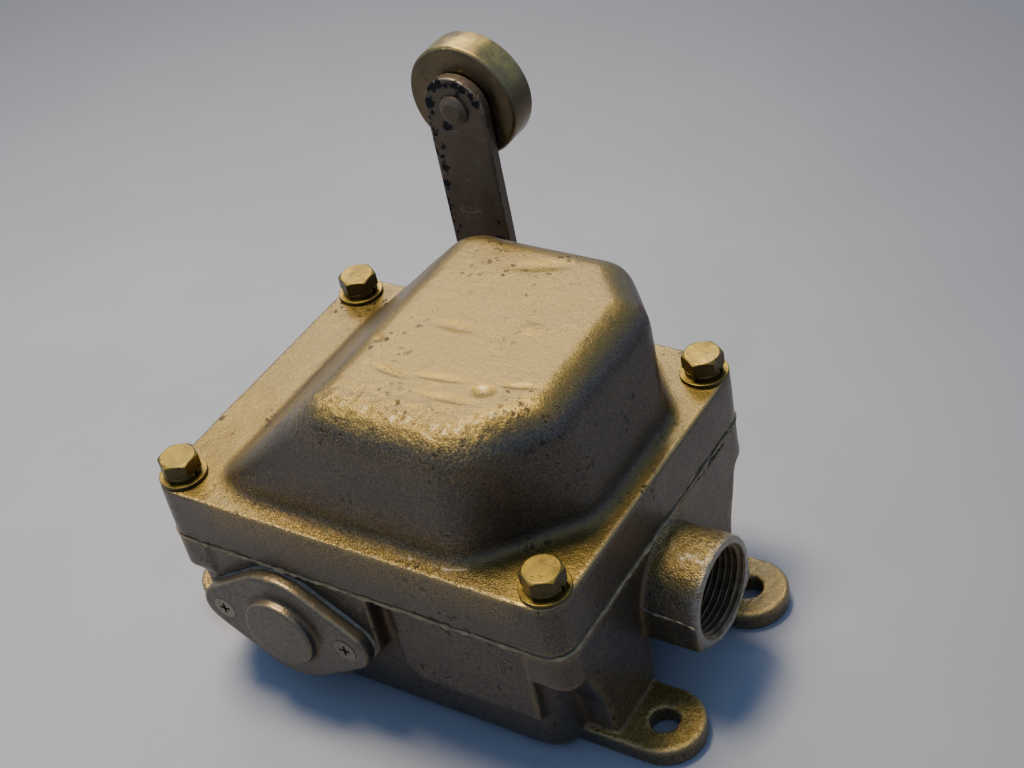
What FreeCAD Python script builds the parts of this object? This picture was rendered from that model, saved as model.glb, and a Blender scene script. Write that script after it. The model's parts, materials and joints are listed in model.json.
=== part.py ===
# Lever limit switch for a crane: a cast box on four feet with a bolted domed cover, a through
# shaft with a roller lever at the back, and cams that work two contact arms inside.
# Origin: on the ground, in the middle of the four foot holes. +Z up, the shaft runs along Y,
# the cable boss points to +X.

import FreeCAD, Part
import Sketcher
import math
import os

sheetSizes = (
    ("cover_length", 166.0, "cover flange across the shaft"),
    ("cover_width", 130.0, "cover flange along the shaft"),
    ("cover_corner", 9.0, "corner radius of the cover flange"),
    ("gasket_thickness", 1.0, "cover gasket"),
    ("gasket_setback", 0.4, "gasket edge behind the flange edge"),
    ("flange_height", 22.0, "cover flange"),
    ("bolt_setback_long", 8.5, "cover bolts behind the flange edge, across the shaft"),
    ("bolt_setback_wide", 9.5, "cover bolts behind the flange edge, along the shaft"),
    ("dome_height", 48.0, "dome above the flange"),
    ("dome_left_setback", 21.5, "dome foot behind the flange edge on the sloping side"),
    ("dome_right_setback", 8.0, "dome foot behind the flange edge on the cable side"),
    ("dome_setback", 7.5, "dome foot behind the flange edge, front and back"),
    ("dome_slope_run", 52.0, "how far the sloping side comes in towards the top"),
    ("dome_right_run", 5.0, "how far the cable side comes in towards the top"),
    ("dome_run", 2.5, "how far the front and back come in towards the top"),
    ("dome_front_cut", 22.0, "where the front cut corner starts on the cable side"),
    ("dome_back_cut", 28.5, "where the back cut corner starts on the cable side"),
    ("dome_cut_slope", 0.89, "how far a cut corner runs along the shaft's side for 1 mm of width"),
    ("dome_top_round", 13.0, "round of the dome's top edge"),
    ("dome_side_round", 14.0, "round of the dome's upright edges"),
    ("dome_root_round", 4.0, "round where the dome meets the flange"),
    ("dome_wall", 6.0, "dome and flange plate thickness"),
    ("tub_length", 142.0, "box across the shaft"),
    ("tub_width", 114.0, "box along the shaft"),
    ("tub_corner", 12.0, "upright corner of the box"),
    ("tub_bottom_round", 4.0, "round under the box"),
    ("tub_lift", 2.0, "box underside above the ground"),
    ("wall", 6.0, "box wall"),
    ("floor_thickness", 6.0, "box floor"),
    ("leg_outer_top", 55.5, "outer edge of a leg under the corner boss"),
    ("leg_outer_middle", 47.5, "outer edge of a leg at its waist"),
    ("leg_middle_height", 25.0, "height of a leg's waist"),
    ("leg_outer_foot", 43.5, "outer edge of a leg at the ground"),
    ("leg_inner_foot", 17.0, "inner edge of a leg at the ground"),
    ("leg_inner_top", 11.0, "inner edge of a leg under the arch"),
    ("arch_drop", 6.0, "top of the arch between two legs below the joint face"),
    ("arch_round", 7.0, "round of the arch"),
    ("corner_boss_height", 16.0, "bolt boss under a cover corner"),
    ("corner_boss_depth", 17.0, "bolt boss, inward from the side"),
    ("corner_boss_round", 4.0, "round under a bolt boss"),
    ("foot_pitch_long", 189.0, "foot holes across the shaft"),
    ("foot_pitch_wide", 66.4, "foot holes along the shaft"),
    ("foot_radius", 14.5, "foot end radius"),
    ("foot_thickness", 7.5, "foot plate"),
    ("foot_hole", 10.6, "foot hole"),
    ("pad_reach", 37.5, "bearing pad, half its length"),
    ("pad_shoulder", 3.0, "pad's widest point below the shaft axis"),
    ("pad_bottom_reach", 17.0, "bearing pad, half its bottom edge"),
    ("pad_drop", 24.5, "pad's bottom below the shaft axis"),
    ("pad_depth", 7.0, "pad in front of the box wall"),
    ("pad_round", 6.0, "corner round of the pad"),
    ("panel_left", 9.5, "raised front panel, left edge"),
    ("panel_right", 64.0, "raised front panel, right edge"),
    ("panel_bottom", 21.5, "raised front panel, bottom edge"),
    ("panel_top_gap", 2.0, "raised front panel below the joint face"),
    ("panel_cut", 6.0, "cut corner of the raised panel"),
    ("panel_depth", 3.5, "raised front panel"),
    ("boss_radius", 19.5, "cable boss outside"),
    ("boss_axis_height", 41.0, "cable boss axis above the ground"),
    ("boss_reach", 21.0, "cable boss beyond the side face"),
    ("boss_drop", 20.0, "flat bottom of the boss below its axis"),
    ("boss_cheek", 11.0, "straight side of the boss below its axis"),
    ("boss_flat", 5.0, "half the flat bottom of the boss"),
    ("cable_bore", 30.3, "pipe thread bore, minor diameter"),
    ("shaft_side", 34.0, "shaft axis left of the middle"),
    ("shaft_diameter", 18.0, "shaft"),
    ("shaft_nose_gap", 1.0, "shaft end behind the pad face"),
    ("running_gap", 0.05, "radial clearance of a running fit"),
    ("side_gap", 0.3, "axial clearance of a turning part"),
    ("bushing_wall", 3.0, "bearing bush wall"),
    ("bushing_flange", 2.0, "bush flange thickness"),
    ("bushing_flange_lip", 3.0, "bush flange beyond its outside"),
    ("bushing_setback", 1.0, "bush end behind the pad face"),
    ("bearing_disc_radius", 24.0, "bearing cover, middle"),
    ("bearing_disc_gap", 1.0, "bearing cover below the joint face"),
    ("bearing_ear_radius", 9.5, "bearing cover, ears"),
    ("bearing_screw_reach", 27.0, "bearing cover screws from the shaft axis"),
    ("bearing_plate", 5.0, "bearing cover plate"),
    ("bearing_gasket", 1.3, "bearing cover gasket"),
    ("bearing_edge_round", 1.5, "edge round of a bearing cover"),
    ("bearing_cap_radius", 14.5, "raised middle of a bearing cover"),
    ("bearing_cap", 3.5, "height of the raised middle"),
    ("screw_diameter", 5.0, "bearing cover screws"),
    ("screw_head", 9.2, "countersunk head"),
    ("screw_head_depth", 2.3, "countersunk head depth"),
    ("screw_depth", 8.0, "screw length in the pad"),
    ("recess_width", 1.0, "arm of the screw's cross recess"),
    ("recess_length", 4.6, "length of the cross recess"),
    ("recess_depth", 1.4, "depth of the cross recess"),
    ("seal_radius", 13.0, "shaft seal outside"),
    ("seal_thickness", 4.0, "shaft seal"),
    ("bolt_diameter", 8.0, "cover bolt"),
    ("bolt_head_flats", 13.0, "cover bolt head across its flats"),
    ("bolt_head_height", 5.6, "cover bolt head"),
    ("bolt_grip", 11.0, "cover bolt length in the base"),
    ("bolt_hole_gap", 0.5, "radial clearance of a cover bolt"),
    ("tapped_gap", 0.1, "radial clearance that stands for a thread"),
    ("washer_diameter", 17.5, "cover bolt flat washer"),
    ("washer_thickness", 1.6, "cover bolt flat washer"),
    ("spring_washer_diameter", 13.6, "cover bolt spring washer"),
    ("spring_washer_thickness", 2.0, "cover bolt spring washer"),
    ("lever_width", 26.0, "drive lever"),
    ("lever_thickness", 4.5, "drive lever"),
    ("lever_length", 119.0, "shaft axis to roller axis"),
    ("lever_offset", 20.8, "lever's near face beyond the flange"),
    ("square_flats", 12.5, "square on the shaft end"),
    ("thread_diameter", 10.0, "thread on the shaft end"),
    ("thread_length", 13.2, "thread on the shaft end"),
    ("lever_washer_diameter", 18.0, "washer under the lever nut"),
    ("lever_washer_thickness", 2.2, "washer under the lever nut"),
    ("nut_flats", 17.0, "lever nut across its flats"),
    ("nut_height", 8.0, "lever nut"),
    ("sleeve_radius", 14.0, "distance sleeve on the shaft"),
    ("roller_radius", 22.8, "lever roller"),
    ("roller_width", 13.2, "lever roller"),
    ("roller_chamfer", 1.0, "lever roller edge"),
    ("roller_recess_radius", 12.0, "recess in the roller's outer face"),
    ("roller_recess_depth", 3.2, "recess in the roller's outer face"),
    ("roller_bush_wall", 3.0, "roller bush wall"),
    ("pin_diameter", 10.0, "roller pin"),
    ("pin_head_radius", 5.9, "riveted head of the roller pin"),
    ("pin_head_height", 2.4, "riveted head of the roller pin"),
    ("inner_washer_radius", 10.0, "washer between lever and roller"),
    ("inner_washer_thickness", 0.6, "washer between lever and roller"),
    ("outer_washer_radius", 9.0, "washer outside the roller"),
    ("outer_washer_thickness", 1.0, "washer outside the roller"),
    ("ring_thickness", 1.0, "retaining rings"),
    ("ring_height", 3.0, "retaining rings beyond the shaft"),
    ("ring_groove", 0.5, "depth of a ring groove"),
    ("element_pitch", 28.0, "distance between the two contact elements"),
    ("arm_pivot_x", 2.0, "contact arm pivot right of the middle"),
    ("arm_pivot_height", 66.0, "contact arm pivot above the ground"),
    ("arm_pin_diameter", 5.0, "contact arm pivot pin"),
    ("arm_width", 12.8, "contact arm"),
    ("arm_reach", 34.0, "contact level above the arm pivot"),
    ("arm_top", 6.0, "arm above the contact level"),
    ("arm_face", 3.0, "contact face of the arm right of its pivot"),
    ("arm_hub", 7.0, "contact arm around its pivot"),
    ("follower_radius", 6.0, "cam follower roller"),
    ("follower_width", 6.8, "cam follower roller"),
    ("follower_x", 8.0, "follower axis left of the middle"),
    ("follower_pin", 4.0, "cam follower pin"),
    ("arm_ratio", 0.14, "contact arm angle for each lever angle"),
    ("swing", 45.0, "lever travel each way, degrees"),
    ("cam_thickness", 6.0, "cam"),
    ("cam_run_on", 12.0, "cam flank beyond the lever's travel, degrees"),
    ("cam_hub_radius", 14.0, "cam hub"),
    ("cam_hub_length", 8.0, "cam hub"),
    ("grub_diameter", 5.0, "set screws"),
    ("driver_radius", 22.5, "spring driver disc"),
    ("driver_thickness", 7.0, "spring driver disc"),
    ("driver_place", 23.0, "spring driver disc in front of the middle"),
    ("driver_hub_radius", 11.5, "spring driver hub"),
    ("driver_hub_length", 16.0, "spring driver hub"),
    ("driver_pin_diameter", 4.4, "pin of the spring driver"),
    ("driver_pin_reach", 19.0, "pin of the spring driver from the axis"),
    ("driver_pin_gap", 0.8, "pin of the spring driver clear of the anchor boss"),
    ("anchor_diameter", 5.0, "spring anchor pin"),
    ("anchor_reach", 24.5, "spring anchor pin from the axis"),
    ("anchor_length", 19.0, "spring anchor pin inside the box"),
    ("anchor_boss_radius", 6.0, "boss that holds the anchor pin"),
    ("anchor_boss_length", 2.4, "boss that holds the anchor pin"),
    ("coil_radius", 14.3, "return spring, middle of the wire"),
    ("coil_wire", 2.5, "return spring wire"),
    ("coil_pitch", 3.8, "return spring pitch"),
    ("coil_front", 4.6, "return spring behind the box wall"),
    ("coil_leg", 28.0, "return spring leg ends from the axis"),
    ("coil_leg_gap", 1.0, "return spring leg ends above the box floor"),
    ("coil_turns", 3, "turns of the return spring"),
    ("coil_bend", 3.0, "bend between the coil and its legs"),
    ("block_face", 23.0, "contact block, face towards the arms"),
    ("block_thickness", 15.0, "contact block"),
    ("block_headroom", 15.0, "contact block top below the inside of the dome"),
    ("block_half_width", 26.0, "contact block, half its width"),
    ("block_foot_length", 33.0, "contact block foot"),
    ("block_foot_thickness", 6.0, "contact block foot"),
    ("block_foot_height", 12.0, "contact block underside above the ground"),
    ("ear_thickness", 4.6, "outer ears of the contact block"),
    ("arm_side_gap", 0.6, "gap beside a contact arm"),
    ("block_screw_x", 48.0, "contact block screws right of the middle"),
    ("block_screw_pitch", 32.0, "contact block screws"),
    ("block_screw_diameter", 5.0, "contact block screws"),
    ("block_boss_radius", 7.0, "bosses under the contact block"),
    ("strip_thickness", 1.5, "fixed contact strip"),
    ("strip_width", 7.0, "fixed contact strip"),
    ("strip_drop", 20.0, "fixed contact strip down the block"),
    ("strip_offset", 8.0, "fixed contact beside its element's middle"),
    ("tip_radius", 3.0, "contact tip"),
    ("tip_height", 2.0, "contact tip"),
    ("bridge_thickness", 0.8, "moving contact spring"),
    ("bridge_height", 7.0, "moving contact spring"),
    ("bridge_middle", 4.0, "half the seat of the moving contact"),
    ("bridge_end", 11.0, "half the length of the moving contact"),
    ("small_screw", 3.0, "moving contact screw"),
    ("small_head_radius", 2.6, "moving contact screw head"),
    ("small_head_height", 2.0, "moving contact screw head"),
    ("terminal_diameter", 4.0, "terminal screw"),
    ("terminal_head_radius", 3.4, "terminal screw head"),
    ("terminal_head_height", 2.6, "terminal screw head"),
    ("terminal_depth", 9.0, "terminal screw in the block"),
    ("terminal_washer_radius", 4.2, "terminal washer"),
    ("terminal_washer_thickness", 1.0, "terminal washer"),
    ("slot_width", 1.0, "screwdriver slot"),
    ("leaf_thickness", 0.6, "arm spring"),
    ("leaf_width", 6.0, "arm spring"),
    ("leaf_bottom", 20.0, "arm spring, lower end above the ground"),
    ("leaf_bend", 32.0, "arm spring, bend above the ground"),
    ("leaf_tip", 50.0, "arm spring, free end above the ground"),
    ("leaf_tip_x", 5.2, "arm spring, free end right of the middle"),
    ("earth_x", 50.0, "earth screw right of the middle"),
    ("earth_y", 38.0, "earth screw in front of the middle"),
    ("earth_boss_radius", 6.5, "earth screw boss"),
    ("earth_boss_height", 4.0, "earth screw boss"),
    ("earth_head_flats", 8.0, "earth screw head across its flats"),
    ("earth_head_height", 3.5, "earth screw head"),
    ("earth_depth", 5.0, "earth screw in the base"),
)

doc = FreeCAD.newDocument("crane_limit_switch")
sheet = doc.addObject("Spreadsheet::Sheet", "Sizes")
for row, (alias, value, meaning) in enumerate(sheetSizes, start=1):
    sheet.set("A%d" % row, meaning)
    sheet.set("B%d" % row, str(value))
    sheet.setAlias("B%d" % row, alias)
doc.recompute()


class Size:
    """A length with the sheet expression that gives it, so that sums of sizes stay bound."""

    def __init__(self, text, value):
        self.text = text
        self.value = value

    def __add__(self, other):
        other = as_size(other)
        return Size("(%s + %s)" % (self.text, other.text), self.value + other.value)

    def __radd__(self, other):
        return as_size(other) + self

    def __sub__(self, other):
        other = as_size(other)
        return Size("(%s - %s)" % (self.text, other.text), self.value - other.value)

    def __rsub__(self, other):
        return as_size(other) - self

    def __mul__(self, other):
        other = as_size(other)
        return Size("(%s * %s)" % (self.text, other.text), self.value * other.value)

    def __rmul__(self, other):
        return as_size(other) * self

    def __truediv__(self, other):
        other = as_size(other)
        return Size("(%s / %s)" % (self.text, other.text), self.value / other.value)

    def __neg__(self):
        return Size("(0 - %s)" % self.text, -self.value)


def as_size(number):
    """A plain number as a Size; a Size is handed back as it is."""
    if isinstance(number, Size):
        return number
    return Size("%.9g" % number, float(number))


class SheetSizes:
    """Every alias of the sheet as an attribute."""


mm = SheetSizes()
for alias, value, meaning in sheetSizes:
    setattr(mm, alias, Size("Sizes." + alias, float(sheet.get(alias))))

# places that several pieces share
half_length = mm.cover_length / 2
half_width = mm.cover_width / 2
tub_half_length = mm.tub_length / 2
tub_half_width = mm.tub_width / 2
inner_half_length = tub_half_length - mm.wall
inner_half_width = tub_half_width - mm.wall
inner_floor = mm.tub_lift + mm.floor_thickness
shaft_height = inner_floor + mm.coil_leg + mm.coil_leg_gap
base_height = shaft_height + mm.bearing_disc_radius + mm.bearing_disc_gap
cover_bottom = base_height + mm.gasket_thickness
flange_top = cover_bottom + mm.flange_height
dome_top = flange_top + mm.dome_height
dome_left_foot = half_length - mm.dome_left_setback
dome_right_foot = half_length - mm.dome_right_setback
dome_half_foot = half_width - mm.dome_setback
dome_left_top = dome_left_foot - mm.dome_slope_run
dome_right_top = dome_right_foot - mm.dome_right_run
dome_half_top = dome_half_foot - mm.dome_run
arch_top = base_height - mm.arch_drop
block_top = dome_top - mm.dome_wall - mm.block_headroom
pad_face = tub_half_width + mm.pad_depth
bearing_inner = pad_face + mm.bearing_gasket
bearing_outer = bearing_inner + mm.bearing_plate
bearing_end = bearing_outer + mm.bearing_cap
shaft_radius = mm.shaft_diameter / 2
shaft_bore = shaft_radius + mm.running_gap
bushing_radius = shaft_bore + mm.bushing_wall
shaft_x = -mm.shaft_side
lever_near = half_width + mm.lever_offset
lever_far = lever_near + mm.lever_thickness
roller_height = shaft_height + mm.lever_length
roller_near = lever_far + mm.inner_washer_thickness + mm.running_gap * 2
roller_far = roller_near + mm.roller_width
contact_height = mm.arm_pivot_height + mm.arm_reach
arm_face_x = mm.arm_pivot_x + mm.arm_face
strip_face_x = mm.block_face - mm.strip_thickness
tip_meeting_x = strip_face_x - mm.tip_height
element_y = mm.element_pitch / 2
boss_end = half_length + mm.boss_reach
root_three = math.sqrt(3.0)
node_objects = []


# helpers

def bind(target, path, size):
    target.setExpression(path, as_size(size).text)


def keep(target, label):
    """Name a finished sub-part; its label is its node and its file."""
    target.Label = label
    node_objects.append(target)
    return target


def new_body(name, x=0, y=0, z=0):
    body = doc.addObject("PartDesign::Body", name)
    for path, size in (("x", x), ("y", y), ("z", z)):
        bind(body, "Placement.Base." + path, size)
    return body


def origin_feature(body, role):
    for feature in body.Origin.OriginFeatures:
        if feature.Role == role:
            return feature
    raise ValueError(role)


def new_sketch(body, name, role, offset=0):
    """A sketch on an origin plane. XY: x, y seen from above. XZ: x, z, facing -Y. YZ: y, z, facing +X."""
    sketch = body.newObject("Sketcher::SketchObject", name)
    sketch.AttachmentSupport = (origin_feature(body, role), [""])
    sketch.MapMode = "FlatFace"
    bind(sketch, "AttachmentOffset.Base.z", offset)
    return sketch


def fix_point(sketch, edge, where, x, y):
    for kind, size in (("DistanceX", as_size(x)), ("DistanceY", as_size(y))):
        number = sketch.addConstraint(Sketcher.Constraint(kind, -1, 1, edge, where, size.value))
        sketch.setExpression("Constraints[%d]" % number, size.text)


def point(x, y):
    return FreeCAD.Vector(as_size(x).value, as_size(y).value, 0)


def draw_outline(sketch, corners):
    """A closed outline of straight lines through the corners."""
    first = sketch.GeometryCount
    count = len(corners)
    spots = [point(x, y) for x, y in corners]
    for i in range(count):
        sketch.addGeometry(Part.LineSegment(spots[i], spots[(i + 1) % count]), False)
    for i in range(count):
        sketch.addConstraint(
            Sketcher.Constraint("Coincident", first + i, 2, first + (i + 1) % count, 1)
        )
    for i, (x, y) in enumerate(corners):
        fix_point(sketch, first + i, 1, x, y)


def draw_rectangle(sketch, x_low, x_high, y_low, y_high):
    draw_outline(sketch, ((x_low, y_low), (x_high, y_low), (x_high, y_high), (x_low, y_high)))


def draw_rounded_rectangle(sketch, half_x, half_y, radius):
    """A rectangle about the origin with round corners."""
    wide = as_size(half_x).value
    deep = as_size(half_y).value
    r = as_size(radius).value
    up = FreeCAD.Vector(0, 0, 1)
    first = sketch.GeometryCount
    quarter = math.pi / 2
    turns = ((1, -1), (1, 1), (-1, 1), (-1, -1))
    for i, (sx, sy) in enumerate(turns):
        centre = FreeCAD.Vector(sx * (wide - r), sy * (deep - r), 0)
        circle = Part.Circle(centre, up, r)
        start = (i - 1) * quarter
        sketch.addGeometry(Part.ArcOfCircle(circle, start, start + quarter), False)
        next_x, next_y = turns[(i + 1) % 4]
        next_centre = FreeCAD.Vector(next_x * (wide - r), next_y * (deep - r), 0)
        side = FreeCAD.Vector(math.cos(start + quarter), math.sin(start + quarter), 0) * r
        sketch.addGeometry(Part.LineSegment(centre + side, next_centre + side), False)
    for i in range(8):
        sketch.addConstraint(
            Sketcher.Constraint("Tangent", first + i, 2, first + (i + 1) % 8, 1)
        )
    for i, (sx, sy) in enumerate(turns):
        fix_point(
            sketch, first + 2 * i, 3, (as_size(half_x) - radius) * sx, (as_size(half_y) - radius) * sy
        )
    set_radius(sketch, first, radius)


def set_radius(sketch, edge, radius):
    radius = as_size(radius)
    number = sketch.addConstraint(Sketcher.Constraint("Radius", edge, radius.value))
    sketch.setExpression("Constraints[%d]" % number, radius.text)


def draw_circle(sketch, x, y, radius):
    circle = Part.Circle(point(x, y), FreeCAD.Vector(0, 0, 1), as_size(radius).value)
    edge = sketch.addGeometry(circle, False)
    fix_point(sketch, edge, 3, x, y)
    set_radius(sketch, edge, radius)


def draw_round_bar(sketch, start, end, radius, round_start):
    """A bar from start to end with a round end, and a round start if asked for."""
    a = point(*start)
    b = point(*end)
    r = as_size(radius).value
    angle = math.atan2(b.y - a.y, b.x - a.x)
    side = FreeCAD.Vector(-math.sin(angle), math.cos(angle), 0) * r
    turn = math.pi / 2
    up = FreeCAD.Vector(0, 0, 1)
    first = sketch.GeometryCount
    sketch.addGeometry(Part.LineSegment(a - side, b - side), False)
    sketch.addGeometry(Part.ArcOfCircle(Part.Circle(b, up, r), angle - turn, angle + turn), False)
    sketch.addGeometry(Part.LineSegment(b + side, a + side), False)
    if round_start:
        back = Part.ArcOfCircle(Part.Circle(a, up, r), angle + turn, angle + 3 * turn)
        sketch.addGeometry(back, False)
    else:
        sketch.addGeometry(Part.LineSegment(a + side, a - side), False)
    joints = [(first, 2, first + 1, 1), (first + 1, 2, first + 2, 1)]
    if round_start:
        joints += [(first + 2, 2, first + 3, 1), (first + 3, 2, first, 1)]
    for joint in joints:
        sketch.addConstraint(Sketcher.Constraint("Tangent", *joint))
    fix_point(sketch, first + 1, 3, *end)
    set_radius(sketch, first + 1, radius)
    if round_start:
        fix_point(sketch, first + 3, 3, *start)
        return
    sketch.addConstraint(Sketcher.Constraint("Coincident", first + 2, 2, first + 3, 1))
    sketch.addConstraint(Sketcher.Constraint("Coincident", first + 3, 2, first, 1))
    sketch.addConstraint(Sketcher.Constraint("Perpendicular", first + 3, first))
    fix_point(sketch, first, 1, start[0], as_size(start[1]) - radius)


def pad(body, sketch, length, reverse=False):
    feature = body.newObject("PartDesign::Pad", sketch.Name + "_pad")
    feature.Profile = sketch
    feature.Reversed = reverse
    bind(feature, "Length", length)
    sketch.Visibility = False
    return feature


def pocket(body, sketch, length, reverse=False):
    """Cut against the sketch's facing side, or with it when reversed."""
    doc.recompute()
    before = body.Shape.Volume
    feature = body.newObject("PartDesign::Pocket", sketch.Name + "_cut")
    feature.Profile = sketch
    feature.Reversed = reverse
    bind(feature, "Length", length)
    doc.recompute()
    if feature.Shape.Volume > before - 1e-3:
        raise ValueError(feature.Name + " cuts nothing")
    return feature


def mirror_body(body, role):
    """The whole body and its mirror image across one of its origin planes, as one solid."""
    feature = body.newObject("PartDesign::Mirrored", "%s_mirror_%s" % (body.Name, role[:2]))
    feature.TransformMode = "Whole shape"
    feature.MirrorPlane = (origin_feature(body, role), [""])
    body.Tip = feature
    doc.recompute()
    return feature


def dress(body, kind, name, size, chosen):
    """Round or chamfer the tip's edges that the chosen test picks by their middle and direction."""
    doc.recompute()
    base = body.Tip
    names = []
    for number, edge in enumerate(base.Shape.Edges, start=1):
        middle = edge.valueAt((edge.FirstParameter + edge.LastParameter) / 2)
        run = edge.valueAt(edge.LastParameter) - edge.valueAt(edge.FirstParameter)
        if chosen(middle, run, edge):
            names.append("Edge%d" % number)
    if not names:
        raise ValueError(name + " finds no edge")
    feature = body.newObject("PartDesign::" + kind, name)
    feature.Base = (base, names)
    bind(feature, "Radius" if kind == "Fillet" else "Size", size)
    body.Tip = feature
    doc.recompute()
    if "Invalid" in feature.State:
        raise ValueError(name + " does not fit its edges")
    return feature


def near(a, b, reach=0.01):
    return abs(a - as_size(b).value) < reach


def upright(run):
    return abs(run.z) > 0.99 * run.Length and run.Length > 0.1


def along_x(run):
    return abs(run.x) > 0.99 * run.Length and run.Length > 0.1


def along_y(run):
    return abs(run.y) > 0.99 * run.Length and run.Length > 0.1


def turned(name, outline, x=0, y=0, z=0, axis="Y"):
    """A turned body: its outline is a list of (radius, place along the axis)."""
    body = new_body(name, x, y, z)
    role = {"Y": "XY_Plane", "Z": "XZ_Plane", "X": "XY_Plane"}[axis]
    sketch = new_sketch(body, name + "_profile", role)
    if axis == "X":
        outline = [(place, radius) for radius, place in outline]
    draw_outline(sketch, outline)
    feature = body.newObject("PartDesign::Revolution", name + "_turned")
    feature.Profile = sketch
    feature.ReferenceAxis = (sketch, ["H_Axis" if axis == "X" else "V_Axis"])
    feature.Angle = 360
    doc.recompute()
    return body


def ring_outline(inner, outer, low, high):
    return [(inner, low), (outer, low), (outer, high), (inner, high)]


def group(label, members):
    """Equal pieces as one node of separate solids."""
    compound = doc.addObject("Part::Compound", label)
    compound.Links = members
    doc.recompute()
    return keep(compound, label)


def draw_hexagon(sketch, x, y, flats):
    """Six corners, two flats facing the sketch's x."""
    flat = as_size(flats) / 2
    corner = flat / root_three
    draw_outline(
        sketch,
        (
            (x + flat, y - corner),
            (x + flat, y + corner),
            (x, y + corner * 2),
            (x - flat, y + corner),
            (x - flat, y - corner),
            (x, y - corner * 2),
        ),
    )


# base casting

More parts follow.
